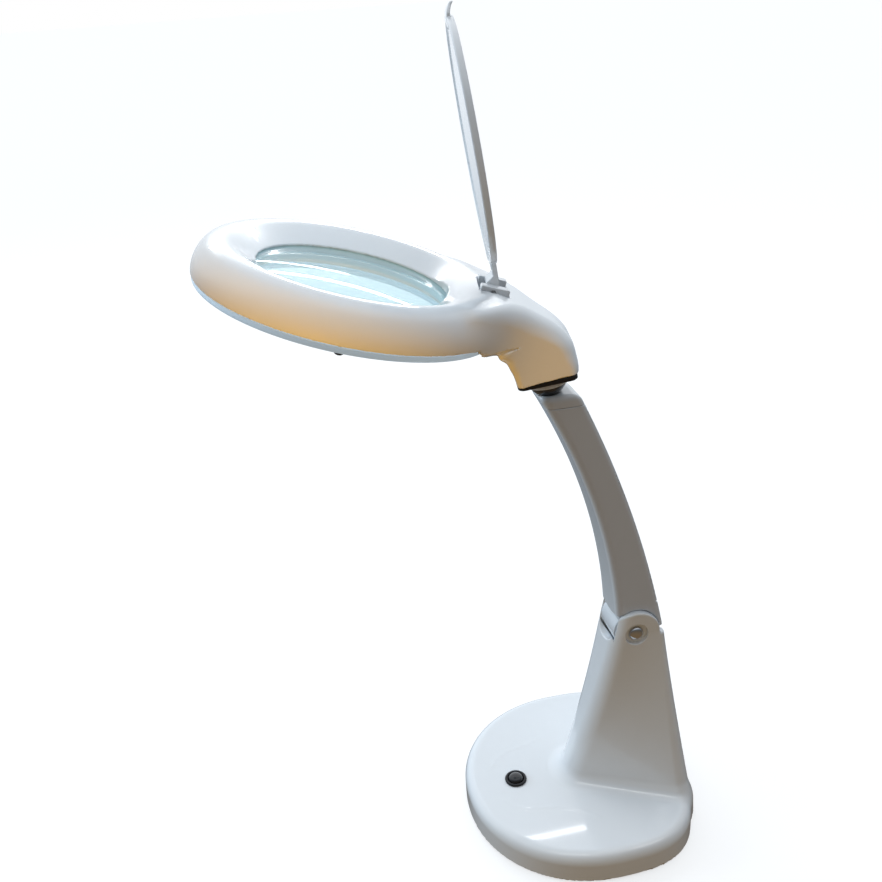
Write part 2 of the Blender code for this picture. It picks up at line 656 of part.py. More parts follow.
def build_ball_stem():
    """Hollow tube holding the ball to the arm, and its nut."""
    part("ball_stem", lathe, tube_profile(1.7, 3.0, -28.2, 5.6), 14, at=STEM,
         material="steel", parent=BALL_AXIS)
    part("stem_nut", hex_nut, flat_r=4.2, bore_r=3.25, z0=-27.5, z1=-25.3, at=STEM,
         material="brass", parent=BALL_AXIS)


def build_ball_socket():
    """Liner and cup over the dome, ring under the plate, housing and spring above."""
    part("ball_liner", lathe, arc_band(9.25, 8.75, 26, 62, 3), 20,
         material="nylon", parent=PLATE_FRAME)
    part("socket_cup", lathe, arc_band(10.9, 9.4, 47, 72, 2), 20,
         material="brass", parent=PLATE_FRAME)

    top = PLATE_Z0 - 0.3
    ball_bore_r = BALL_R + 0.25
    ring = [(15.9, top), (15.9, top - 1.6), (15.3, top - 2.1), (12.9, top - 2.3), (12.5, -2.9)]
    ring += [(sqrt(ball_bore_r * ball_bore_r - z * z), z) for z in (-2.9, -1.6, -0.3, top)]
    part("socket_ring", lathe, ring, 24, material="white_abs", parent=PLATE_FRAME)

    foot = PLATE_Z1 + 0.3
    housing = [(11.5, foot), (12.1, foot), (12.1, 11.9), (11.6, 12.5), (3.9, 12.5),
               (3.9, 11.8), (11.2, 11.8), (11.5, 11.5)]
    part("socket_housing", lathe, housing, 20, material="steel", parent=PLATE_FRAME)
    part("socket_spring", lathe, tube_profile(4.6, 7.6, 10.75, 11.4), 24,
         material="steel", parent=PLATE_FRAME)


def build_neck_plate():
    """Black plate closing the neck, bevelled below, with its four screws."""
    def outline(grow, corner):
        return rounded_rect(NECK_HALF + grow, PLATE_Y0 - grow, PLATE_Y1 + grow, corner, 4)

    rings = [at_z(outline(-0.1, 4.0), PLATE_Z0), at_z(outline(0.3, 4.4), PLATE_Z0 + 0.4),
             at_z(outline(0.3, 4.4), PLATE_Z1)]
    plate = part("neck_plate", loft, rings, material="black_plastic", parent=PLATE_FRAME)
    centres = [(side * PLATE_SCREW_X, y) for side, y, _ in PLATE_SCREWS]
    bm = bmesh.new()
    cylinder(bm, 11.75, -5, 8, 24)
    cylinders(bm, 1.6, -5, 8, 10, centres)
    boolean(plate, finish("cut_plate_bores", bm, parent=PLATE_FRAME))

    tip = PLATE_Z1 + 2.6
    screw = [(0, PLATE_Z0 - 0.9), (1.5, PLATE_Z0 - 0.9), (2.4, PLATE_Z0 - 0.4), (2.4, PLATE_Z0),
             (1.3, PLATE_Z0), (1.3, tip), (0, tip)]
    for i, (x, y) in enumerate(centres, 1):
        part(f"plate_screw_{i}", lathe, screw, 10, at=Matrix.Translation((x, y, 0)),
             material="steel", parent=PLATE_FRAME)


# ================================================================== HEAD SHELL
# Closed half section of the solid ring, (radius, z)
RING_PROFILE = [
    (LENS_OPEN_R, -5.0), (LENS_OPEN_R, -4.2), (51.4, -3.1), (56.0, -0.5), (61.0, 2.2),
    (64.3, 3.7), (67.3, 4.4), (70.6, 4.0), (74.5, 2.2), (77.9, -1.6), (80.4, -6.6),
    (RING_R, -12.0), (81.1, SEAM_Z), (LENS_BORE_R, SEAM_Z), (LENS_BORE_R, -5.0),
]
# Cavity under the ring's crown, open below, (radius, z)
RING_CAVITY = [
    (55.6, -30.0), (55.6, -4.1), (60.6, -1.7), (64.2, -0.3), (67.2, 0.1), (69.9, -0.4),
    (73.2, -1.9), (76.2, -5.0), (78.2, -8.8), (79.0, -12.6), (RING_R - 2.4, -30.0),
]
# Neck stations from the ring to the plate: upper y, z, lower y, z, half width
NECK_STATIONS = [
    (63.8, 3.0, 57.8, -15.0, 36.0),
    (81.8, 1.6, 73.8, -18.8, 27.5),
    (93.8, -1.0, 81.8, -22.9, 22.0),
    (105.8, -4.8, 87.4, -27.6, 19.4),
    (116.0, -10.0, 91.6, -32.8, 18.4),
    (122.7, -17.2, 94.7, -37.2, NECK_HALF),
    (*PLATE_B, *PLATE_A, NECK_HALF),
]


def neck_section(station, inset=0.0):
    """Rounded neck cross-section at a fractional row of NECK_STATIONS."""
    row = min(int(station), len(NECK_STATIONS) - 2)
    f = station - row
    top_y, top_z, low_y, low_z, half = [
        a + (b - a) * f for a, b in zip(NECK_STATIONS[row], NECK_STATIONS[row + 1])]
    up, length = direction((low_y, low_z), (top_y, top_z))
    outline = rounded_rect(half - inset, inset, length - inset, 5.0 - inset)
    return [(x, low_y + up.x * s, low_z + up.y * s) for x, s in outline]


def neck_solid():
    neck = part("cut_neck_solid", loft, [neck_section(k / 2) for k in range(13)],
                parent=HEAD_FRAME)
    # lift the neck's end clear of the plate
    boolean(neck, part("cut_neck_end", box, (-40, -60, NECK_END_Z - 30),
                       (40, 60, NECK_END_Z + 1.3), parent=PLATE_FRAME))
    # room for the diffuser's rim under the ring
    boolean(neck, part("cut_neck_under", cylinder, RING_R - 0.4, -60, SEAM_Z, RING_SEGS,
                       parent=HEAD_FRAME))
    return neck


def head_cavity():
    """Ring cavity joined to the neck cavity, which runs on past both ends of the neck."""
    cavity = part("cut_ring_cavity", lathe, RING_CAVITY, RING_SEGS, parent=HEAD_FRAME)
    rings = [neck_section(k / 2, inset=2.5) for k in range(2, 13)]
    first = [(x * 0.98, y - 6.0, z) for x, y, z in rings[0]]
    last = [(x, y + 6 * PLATE_SIN, z - 6 * PLATE_COS) for x, y, z in rings[-1]]
    boolean(cavity, part("cut_neck_cavity", loft, [first] + rings + [last],
                         parent=HEAD_FRAME), 'UNION')
    return cavity


def add_plate_screw_bosses(shell):
    """Bosses for the four plate screws, standing against the neck's side walls."""
    for side, y, height in PLATE_SCREWS:
        x0, x1 = sorted((side * 11.8, side * 16.6))
        boss = part("cut_boss", box, (x0, y - 2.3, PLATE_Z1 + 0.35),
                    (x1, y + 2.3, PLATE_Z1 + height), parent=PLATE_FRAME)
        boolean(shell, boss, 'UNION')
        pilot = part("cut_pilot", cylinder, 1.35, PLATE_Z1 - 4, PLATE_Z1 + 3.2, 10,
                     centre=(side * PLATE_SCREW_X, y), parent=PLATE_FRAME)
        boolean(shell, pilot)


def build_head_shell():
    """Ring and neck in one moulding."""
    shell = part("head_upper_shell", lathe, RING_PROFILE, RING_SEGS, material="white_abs",
                 parent=HEAD_FRAME, angle=35)
    boolean(shell, neck_solid(), 'UNION')
    boolean(shell, head_cavity())
    add_plate_screw_bosses(shell)
    # clear lens bore through any neck overlap
    bore = [(0, -40), (LENS_BORE_R, -40), (LENS_BORE_R, -5.0), (LENS_OPEN_R, -5.0),
            (LENS_OPEN_R, 20), (0, 20)]
    boolean(shell, part("cut_lens_bore", lathe, bore, RING_SEGS, parent=HEAD_FRAME))
    boolean(shell, part("cut_head_posts", cylinders, 2.5, -15.1, -3.0, 10, DIFFUSER_SCREWS,
                        parent=HEAD_FRAME), 'UNION')
    # post pilots and the pocket for the hinge block
    bm = bmesh.new()
    cylinders(bm, 1.1, -20, -5, 8, DIFFUSER_SCREWS)
    box(bm, (-12.9, 64.6, 1.0), (12.9, 80.6, 9.0))
    boolean(shell, finish("cut_head_holes", bm, parent=HEAD_FRAME))


# ================================================================== HEAD PARTS
def build_lens():
    """Biconvex lens and the ring below that retains it."""
    curve_r = 333.0
    top_rim_z, bottom_rim_z = -5.4, -8.4
    sag = curve_r - sqrt(curve_r * curve_r - LENS_R ** 2)
    top_centre = top_rim_z + sag - curve_r
    bottom_centre = bottom_rim_z - sag + curve_r
    radii = [LENS_R * k / 4 for k in range(5)]
    profile = [(r, top_centre + sqrt(curve_r ** 2 - r ** 2)) for r in radii]
    profile += [(r, bottom_centre - sqrt(curve_r ** 2 - r ** 2)) for r in reversed(radii)]
    part("lens", lathe, profile, 36, material="lens_glass", parent=HEAD_FRAME, angle=25)
    part("lens_retaining_ring", lathe, tube_profile(50.2, 52.8, -8.9, -12.4), 36,
         material="white_abs", parent=HEAD_FRAME)


def across_tube(degrees):
    """Placement at an angle round the lamp tube, local z along the tube."""
    return (Matrix.Rotation(radians(degrees), 4, 'Z')
            @ Matrix.Translation((TUBE_R, 0, TUBE_Z)) @ Matrix.Rotation(pi / 2, 4, 'X'))


def build_lamp_tube():
    """Reflector and circular tube, with the socket in the tube's rear gap and three clips."""
    part("head_reflector", lathe, tube_profile(60.8, 70.0, -2.6, -3.4), 36,
         material="reflector_white", parent=HEAD_FRAME)

    steps = 30
    section = circle_points(TUBE_SECTION_R)
    rings = []
    for k in range(steps + 1):
        a = radians(100) + radians(340) * k / steps
        rings.append([((TUBE_R + r) * cos(a), (TUBE_R + r) * sin(a), TUBE_Z + z)
                      for r, z in section])
    part("ring_tube", loft, rings, material="tube_glass", parent=HEAD_FRAME)

    socket = part("tube_socket", box, (-9.6, 58.4, -16.4), (9.6, 71.0, -4.2),
                  material="reflector_white", parent=HEAD_FRAME)
    bm = bmesh.new()
    for degrees in (80, 100):
        cylinder(bm, 5.5, -6.0, 6.0, 16, at=across_tube(degrees))
    boolean(socket, finish("cut_tube_socket", bm, parent=HEAD_FRAME))

    clip = arc_band(5.8, 6.3, 62, -242, 10)
    for i, degrees in enumerate((210, 245, 330), 1):
        part(f"tube_clip_{i}", loft, [at_z(clip, z) for z in (-3.0, 3.0)],
             at=across_tube(degrees), material="steel", parent=HEAD_FRAME)


def build_diffuser():
    """Channel ring closing the underside of the head, and its screws."""
    profile = [(53.5, -15.8), (53.7, -17.6), (56.8, -19.3), (77.4, -19.3), (80.1, -17.8),
               (80.6, -15.8), (79.1, -15.8), (77.0, -17.8), (57.0, -17.8), (55.0, -15.8)]
    diffuser = part("diffuser", lathe, profile, RING_SEGS, material="diffuser",
                    parent=HEAD_FRAME)
    boolean(diffuser, part("cut_diffuser", cylinders, 1.4, -25, -14, 10, DIFFUSER_SCREWS,
                           parent=HEAD_FRAME))
    screw = [(0, -21.4), (1.6, -21.2), (2.5, -20.4), (2.6, -19.7), (0.8, -19.7),
             (0.8, -8.4), (0, -7.8)]
    for i, (x, y) in enumerate(DIFFUSER_SCREWS, 1):
        part(f"diffuser_screw_{i}", lathe, screw, 12, at=Matrix.Translation((x, y, 0)),
             material="black_plastic", parent=HEAD_FRAME)


def build_hinge():
    """Forked hinge block on top of the ring, and its pin."""
    block = part("hinge_block", box, (-12.5, 64.9, 1.3), (12.5, 80.2, 8.35),
                 material="white_abs", parent=HEAD_FRAME)
    boolean(block, part("cut_hinge_gap", box, (-6.6, 60.0, 2.0), (6.6, 84.0, 15.0),
                        parent=HEAD_FRAME))
    boolean(block, part("cut_pin_bore", cylinder, 1.35, -20, 20, 12, at=HINGE_ALONG_X,
                        parent=HEAD_FRAME))
    part("hinge_pin", lathe, tube_profile(0, 1.0, -12.3, 12.3), 12, at=HINGE_ALONG_X,
         material="steel", parent=HEAD_FRAME)


def build_head_lead():
    """Lead inside the neck, swept along a Bezier curve."""
    curve = [Vector(p) for p in ((0, 107.4, -23.2), (0, 104.0, -11.5), (0, 80.0, -9.5))]
    start, control, end = curve
    across = Vector((1, 0, 0))
    rings = []
    for k in range(9):
        t = k / 8
        centre = Vector(bezier(*curve, t))
        tangent = ((control - start) * (1 - t) + (end - control) * t).normalized()
        side = tangent.cross(across).normalized()
        rings.append([centre + across * u + side * v for u, v in circle_points(CABLE_R)])
    part("head_lead", loft, rings, material="cable", parent=HEAD_FRAME)


# ================================================================== LID
def slab_rings(stations):
    """Rectangular rings from (y, half width, bottom z, top z) stations."""
    return [[(-half, y, z0), (half, y, z0), (half, y, z1), (-half, y, z1)]
            for y, half, z0, z1 in stations]


def build_lid():
    """Lid disc with hinge arm, knuckle and front tab; y = 0 is the pin."""
    disc = [(0, 2.9), (53.0, 2.8), (57.6, 2.4), (LID_R, 1.7), (LID_R, 0.8), (57.0, 0.8),
            (55.6, 1.4), (0, 1.4)]
    lid = part("lid", lathe, disc, RING_SEGS, at=Matrix.Translation((0, -LID_REACH, 0)),
               material="white_abs", parent=LID_AXIS, angle=35)
    knuckle_half = 6.1
    arm = [
        (-20.0, 12.5, 0.85, 2.8),
        (-13.5, 10.0, 0.95, 3.3),
        (-9.6, knuckle_half, 1.4, 4.1),
        (-7.2, knuckle_half, 1.4, 4.2),
        (-4.0, knuckle_half, -1.0, 4.0),
        (0.0, knuckle_half, -3.1, 3.1),
    ]
    boolean(lid, part("cut_lid_arm", loft, slab_rings(arm), parent=LID_AXIS), 'UNION')
    boolean(lid, part("cut_lid_knuckle", cylinder, 3.15, -knuckle_half, knuckle_half, 18,
                      at=ALONG_X, parent=LID_AXIS), 'UNION')
    edge = -LID_REACH - LID_R
    tab = [
        (edge + 5.0, 9.0, 0.9, 2.4),
        (edge - 0.5, 8.4, 1.2, 3.0),
        (edge - 4.0, 6.6, 2.4, 4.2),
        (edge - 5.8, 4.2, 3.8, 5.3),
    ]
    boolean(lid, part("cut_lid_tab", loft, slab_rings(tab), parent=LID_AXIS), 'UNION')
    boolean(lid, part("cut_lid_bore", cylinder, 1.3, -20, 20, 12, at=ALONG_X,
                      parent=LID_AXIS))


# ================================================================== BUILD
build_base_shell()
build_base_underside()
build_weight()
build_power_socket()
build_ballast()
build_switch()
build_pivot_hardware()

build_arm_top_cap(build_arm_shell())
build_arm_rear_cover()
build_arm_inside()

build_ball()
build_ball_stem()
build_ball_socket()
build_neck_plate()

build_head_shell()
build_lens()
build_lamp_tube()
build_diffuser()
build_hinge()
build_head_lead()
build_lid()
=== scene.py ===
"""Bench magnifying lamp: a base with a tower, a curved arm on a pivot, and a ring-lamp head
with a lens and a hinged lid, which stands open.

The base rests on z = 0, the tower and pivot lie towards +y and the head reaches out over -y.
Moulded pieces are signed distance fields, meshed on a grid and pulled onto the exact surface;
turned pieces are lathes. Sizes are in millimetres, and Blender units are metres.
"""
import json
from math import sin, cos, pi, radians, sqrt, atan2, hypot, asin, acos
import bmesh
import bpy
import numpy as np
from mathutils import Matrix, Vector

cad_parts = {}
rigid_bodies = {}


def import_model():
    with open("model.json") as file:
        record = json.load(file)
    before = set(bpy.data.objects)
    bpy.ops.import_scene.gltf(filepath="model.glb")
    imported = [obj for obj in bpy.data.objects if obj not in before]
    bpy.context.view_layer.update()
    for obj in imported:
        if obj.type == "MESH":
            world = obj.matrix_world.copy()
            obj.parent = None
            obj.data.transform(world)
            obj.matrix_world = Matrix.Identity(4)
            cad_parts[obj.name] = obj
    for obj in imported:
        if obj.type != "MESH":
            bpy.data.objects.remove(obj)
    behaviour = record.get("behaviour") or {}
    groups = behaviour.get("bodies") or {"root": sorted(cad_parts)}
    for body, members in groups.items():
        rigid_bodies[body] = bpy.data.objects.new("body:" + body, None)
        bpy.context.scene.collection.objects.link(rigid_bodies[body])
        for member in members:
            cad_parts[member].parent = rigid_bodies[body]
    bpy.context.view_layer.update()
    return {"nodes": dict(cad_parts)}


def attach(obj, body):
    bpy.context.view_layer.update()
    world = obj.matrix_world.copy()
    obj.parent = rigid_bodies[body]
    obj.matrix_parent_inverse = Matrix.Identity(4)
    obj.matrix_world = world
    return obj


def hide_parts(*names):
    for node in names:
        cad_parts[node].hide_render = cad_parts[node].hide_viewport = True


for old in list(bpy.data.objects):
    bpy.data.objects.remove(old, do_unlink=True)

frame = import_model()
COARSE = 1.0     # grid step factor
MM = 0.001                              # millimetres to metres

# ------------------------------------------------------------------ dimensions (mm, degrees)
# Base: a superellipse slab, with its own depth and exponent on either side of y = 0
BASE_HALF_W, BASE_FRONT, BASE_REAR = 76.8, 78.7, 62.9
FRONT_EXPONENT, REAR_EXPONENT = 2.1, 2.93
BASE_H, BASE_FILLET = 20.3, 7.3
BUTTON_X, BUTTON_Y = 0.0, -46.2
# Pivot, along x through the top of the tower
PIVOT_Y, PIVOT_Z = 30.36, 133.34
EAR_R, EAR_HALF = 15.2, 17.0
SLOT_HALF, SLOT_ROUND_Z = 12.3, 136.6
RECESS_R, RECESS_R_NEG, RECESS_DEPTH = 7.17, 6.9, 2.6   # at the +x and -x ends
KNUCKLE_R, KNUCKLE_HALF = 13.0, 11.2
# Arm edges as (y, z) control points of quadratic curves
ARM_FRONT = ((19.0, 133.0), (16.8, 217.5), (-26.4, 296.4))
ARM_REAR = ((49.2, 133.0), (32.6, 219.0), (-3.6, 296.4))
ARM_HALF_LOW, ARM_HALF_TOP = 14.8, 12.5
CAP_Z, ARM_TOP_Z = 289.6, 296.6
CAP_GAP = 0.005                         # half the gap between arm and cap
# Head: (y, z) pairs are in the head frame, which has its origin at the ring's centre
RING_CENTRE = (0.0, -117.3, 373.2)
RING_TILT, HEAD_YAW = -16.8, -9.96
LENS_OPEN_R, LENS_R = 50.0, 52.5
SEAM_Z = -15.4
PLATE_START, PLATE_END = (97.2, -41.25), (126.1, -27.55)
NECK_HALF = 18.0
BALL_IN_HEAD = (113.7, -36.65)
BALL_R, DOME_R, BALL_BORE_R = 11.2, 8.6, 3.4
HINGE_Y, HINGE_Z = 71.7, 5.55
LID_OPEN, LID_R, LID_REACH = 66.0, 59.1, 72.9
DIFFUSER_SCREW_R = 74.6
DIFFUSER_SCREW_ANGLES = (0.0, pi, -pi / 2)

# ------------------------------------------------------------------ frames
# The head is tilted about x, then yawed about a vertical axis through the ball.
IDENTITY = Matrix.Identity(4)
unyawed = Matrix.Translation(Vector(RING_CENTRE)) @ Matrix.Rotation(radians(RING_TILT), 4, 'X')
BALL = unyawed @ Vector((0, *BALL_IN_HEAD))
HEAD_FRAME = (Matrix.Translation(BALL) @ Matrix.Rotation(radians(HEAD_YAW), 4, 'Z')
              @ Matrix.Translation(-BALL) @ unyawed)
# The plate frame has its origin at the ball, y along the plate and z square to it.
plate_dy, plate_dz = PLATE_END[0] - PLATE_START[0], PLATE_END[1] - PLATE_START[1]
PLATE_ANGLE = atan2(plate_dz, plate_dy)
PLATE_FRAME = (HEAD_FRAME @ Matrix.Translation((0, *BALL_IN_HEAD))
               @ Matrix.Rotation(PLATE_ANGLE, 4, 'X'))
PLATE_COS, PLATE_SIN = cos(PLATE_ANGLE), sin(PLATE_ANGLE)
start_dy, start_dz = PLATE_START[0] - BALL_IN_HEAD[0], PLATE_START[1] - BALL_IN_HEAD[1]
PLATE_Y0 = start_dy * PLATE_COS + start_dz * PLATE_SIN
PLATE_Y1 = PLATE_Y0 + hypot(plate_dy, plate_dz)
PLATE_Z = -start_dy * PLATE_SIN + start_dz * PLATE_COS
# The lid frame has its origin on the hinge pin; the lid reaches along its -y.
LID_FRAME = (HEAD_FRAME @ Matrix.Translation((0, HINGE_Y, HINGE_Z))
             @ Matrix.Rotation(radians(-LID_OPEN), 4, 'X'))
PIVOT_FRAME = Matrix.Translation((0.0, PIVOT_Y, PIVOT_Z)) @ Matrix.Rotation(pi / 2, 4, 'Y')
BUTTON_FRAME = Matrix.Translation((BUTTON_X, BUTTON_Y, 0))
BUTTON_TOP_FRAME = Matrix.Translation((BUTTON_X, BUTTON_Y, BASE_H))


# ------------------------------------------------------------------ distance field helpers
def round_max(a, b, radius):
    """Intersection with a rounded outside edge."""
    corner = np.sqrt(np.maximum(a + radius, 0) ** 2 + np.maximum(b + radius, 0) ** 2)
    return np.minimum(np.maximum(a, b), -radius) + corner


def round_min(a, b, radius):
    """Union with a round fillet."""
    return -round_max(-a, -b, radius)


def carve(body, tool, radius=None):
    """The body less the tool, with a sharp edge unless a radius is given."""
    if radius is None:
        return np.maximum(body, -tool)
    return round_max(body, -tool, radius)


def smooth_min(a, b, width):
    """Union with a cubic blend."""
    h = np.maximum(width - np.abs(a - b), 0) / width
    return np.minimum(a, b) - h * h * h * width / 6


def smooth_step(start, end, value):
    t = np.clip((value - start) / (end - start), 0, 1)
    return t * t * (3 - 2 * t)


def rounded_box(x, y, z, low, high, radius):
    centre = [(a + b) / 2 for a, b in zip(low, high)]
    half = [(b - a) / 2 - radius for a, b in zip(low, high)]
    qx, qy, qz = [np.abs(p - c) - h for p, c, h in zip((x, y, z), centre, half)]
    outside = np.sqrt(np.maximum(qx, 0) ** 2 + np.maximum(qy, 0) ** 2 + np.maximum(qz, 0) ** 2)
    return outside + np.minimum(np.maximum(qx, np.maximum(qy, qz)), 0) - radius


def pivot_distance(y, z):
    """Distance from the pivot's axis."""
    return np.hypot(y - PIVOT_Y, z - PIVOT_Z)


# ------------------------------------------------------------------ meshing
def grid_axis(low, high, step, fine):
    """Grid coordinates `step` apart, finer inside the (from, to, step) spans."""
    value, out = low, []
    while value < high:
        out.append(value)
        here = min([step] + [s for start, end, s in fine if start <= value < end])
        value += here * COARSE
    out.append(value)
    return np.array(out)


def gradient(field, points, reach=0.02):
    slope = np.empty_like(points)
    for a in range(3):
        offset = np.zeros(3)
        offset[a] = reach
        slope[:, a] = (field(*(points + offset).T) - field(*(points - offset).T)) / (2 * reach)
    return slope


def edge_crossings(values, axes, cells):
    """For each cell, the mean of the points where the field changes sign along its edges."""
    total, count = np.zeros((len(cells[0]), 3)), np.zeros(len(cells[0]))
    for a in range(3):
        across = [o for o in range(3) if o != a]
        for i in (0, 1):
            for j in (0, 1):
                offset = [0, 0, 0]
                offset[across[0]], offset[across[1]] = i, j
                start = [c + o for c, o in zip(cells, offset)]
                end = list(start)
                end[a] = start[a] + 1
                v0, v1 = values[tuple(start)], values[tuple(end)]
                crossed = (v0 < 0) != (v1 < 0)
                t = np.where(crossed, v0 / np.where(crossed, v0 - v1, 1), 0)
                for q in range(3):
                    p0, p1 = axes[q][start[q]], axes[q][end[q]]
                    total[:, q] += np.where(crossed, p0 + (p1 - p0) * t, 0)
                count += crossed
    return total / count[:, None]


def cell_quads(inside, index):
    """One quad round every grid edge that passes through the surface."""
    size, quads = inside.shape, []
    for a in range(3):
        across = [(1, 2), (2, 0), (0, 1)][a]
        low, high = [slice(None)] * 3, [slice(None)] * 3
        low[a], high[a] = slice(0, size[a] - 1), slice(1, size[a])
        for o in across:
            low[o] = high[o] = slice(1, size[o] - 1)
        starts, ends = inside[tuple(low)], inside[tuple(high)]
        for flip, mask in ((False, starts & ~ends), (True, ~starts & ends)):
            at = list(np.nonzero(mask))
            for o in across:
                at[o] = at[o] + 1
            corners = []
            for shift in ((-1, -1), (0, -1), (0, 0), (-1, 0)):
                cell = list(at)
                for o, d in zip(across, shift):
                    cell[o] = at[o] + d
                corners.append(index[tuple(cell)])
            quad = np.stack(corners, 1)
            quads.append(quad[:, ::-1] if flip else quad)
    return np.concatenate(quads)


def surface_nets(field, axes):
    """Surface nets on a rectilinear grid, then each vertex pulled onto the surface."""
    xs, ys, zs = axes
    nx, ny, nz = size = tuple(len(a) for a in axes)
    values = np.empty(size)
    for i in range(0, nx, 16):          # in slabs, to limit memory
        values[i:i + 16] = field(*np.meshgrid(xs[i:i + 16], ys, zs, indexing='ij'))
    inside = values < 0
    corners = sum(inside[i:nx - 1 + i, j:ny - 1 + j, k:nz - 1 + k].astype(np.int8)
                  for i in (0, 1) for j in (0, 1) for k in (0, 1))
    cells = np.nonzero((corners > 0) & (corners < 8))
    index = -np.ones((nx - 1, ny - 1, nz - 1), np.int64)
    index[cells] = np.arange(len(cells[0]))
    start = edge_crossings(values, axes, cells)
    faces = cell_quads(inside, index)

    points = start.copy()
    limit = 0.5 * np.array([np.diff(a).max() for a in axes])
    for _ in range(4):
        slope = gradient(field, points)
        distance = field(*points.T)
        pull = distance / np.maximum((slope ** 2).sum(1), 0.05)
        points = points - 0.9 * pull[:, None] * slope
        points = np.clip(points, start - limit, start + limit)
    normals = gradient(field, points, 0.06)
    normals /= np.maximum(np.linalg.norm(normals, axis=1), 1e-9)[:, None]
    return points, faces, normals


def link_object(name, data):
    ob = bpy.data.objects.new(name, data)
    bpy.context.scene.collection.objects.link(ob)
    return ob


def moulded(name, field, low, high, step, mat, fine_x=(), fine_y=(), fine_z=(), at=IDENTITY):
    """A moulded piece from a distance field in the frame `at`, meshed from low to high."""
    axes = [grid_axis(*span, step, fine) for *span, fine in zip(low, high, (fine_x, fine_y, fine_z))]
    points, faces, normals = surface_nets(field, axes)
    rotation = np.array(at.to_3x3())
    points = points @ rotation.T + np.array(at.translation)
    normals = normals @ rotation.T
    me = bpy.data.meshes.new(name)
    me.vertices.add(len(points))
    me.vertices.foreach_set("co", (points * MM).astype(np.float32).ravel())
    me.loops.add(faces.size)
    me.loops.foreach_set("vertex_index", faces.astype(np.int32).ravel())
    me.polygons.add(len(faces))
    me.polygons.foreach_set("loop_start", np.arange(0, faces.size, 4, dtype=np.int32))
    me.polygons.foreach_set("loop_total", np.full(len(faces), 4, np.int32))
    me.update(calc_edges=True)
    me.validate()
    me.shade_smooth()
    me.normals_split_custom_set_from_vertices([tuple(v) for v in normals])
    me.materials.append(mat)
    return link_object(name, me)


def softened(profile, radius):
    """Round every corner of a closed (radius, height) profile that is off the axis."""
    steps, out = 3, []
    for i, corner in enumerate(profile):
        if corner[0] < 1e-6:
            out.append(tuple(float(c) for c in corner))
            continue
        p = np.array(corner, float)
        before = np.array(profile[i - 1], float)
        after = np.array(profile[(i + 1) % len(profile)], float)
        len_before, len_after = np.linalg.norm(before - p), np.linalg.norm(after - p)
        reach = min(radius, len_before * 0.45, len_after * 0.45)
        start = p + (before - p) / len_before * reach
        end = p + (after - p) / len_after * reach
        for k in range(steps + 1):
            t = k / steps
            out.append(tuple(start * (1 - t) ** 2 + p * 2 * t * (1 - t) + end * t * t))
    return out


def arc(radius, start, end, steps):
    """Profile points on a circle about the origin, between angles from the equator."""
    angles = [start + (end - start) * k / steps for k in range(steps + 1)]
    return [(radius * cos(a), radius * sin(a)) for a in angles]


def dome(radius, top, rise, sweep):
    """Elliptical dome profile, from its top on the axis down and out."""
    angles = [radians(sweep) * k / 14 for k in range(15)]
    return [(radius * sin(a), top - rise * (1 - cos(a))) for a in angles]


def lathe(name, profile, mat, at=IDENTITY, segments=96, sharp=30):
    """A closed (radius, height) profile turned about the z axis of the frame `at`."""
    verts, faces, columns, poles = [], [], [], {}
    for k in range(segments):
        a = 2 * pi * k / segments
        column = []
        for i, (r, z) in enumerate(profile):
            if r >= 1e-6:
                column.append(len(verts))
                verts.append(at @ Vector((r * cos(a), r * sin(a), z)))
                continue
            if i not in poles:
                poles[i] = len(verts)
                verts.append(at @ Vector((0, 0, z)))
            column.append(poles[i])
        columns.append(column)
    for k in range(segments):
        here, beside = columns[k], columns[(k + 1) % segments]
        for i in range(len(profile)):
            j = (i + 1) % len(profile)
            corners = list(dict.fromkeys((here[i], beside[i], beside[j], here[j])))
            if len(corners) >= 3:
                faces.append(corners)
    me = bpy.data.meshes.new(name)
    me.from_pydata([tuple(v * MM) for v in verts], [], faces)
    me.validate()
    bm = bmesh.new()
    bm.from_mesh(me)
    bmesh.ops.recalc_face_normals(bm, faces=bm.faces)
    bm.to_mesh(me)
    bm.free()
    me.shade_smooth()
    me.set_sharp_from_angle(angle=radians(sharp))
    me.materials.append(mat)
    return link_object(name, me)


def fit(ob, part, node):
    """Ride the piece on a moving part, in place of a CAD piece."""
    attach(ob, part)
    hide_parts(node)
    return ob


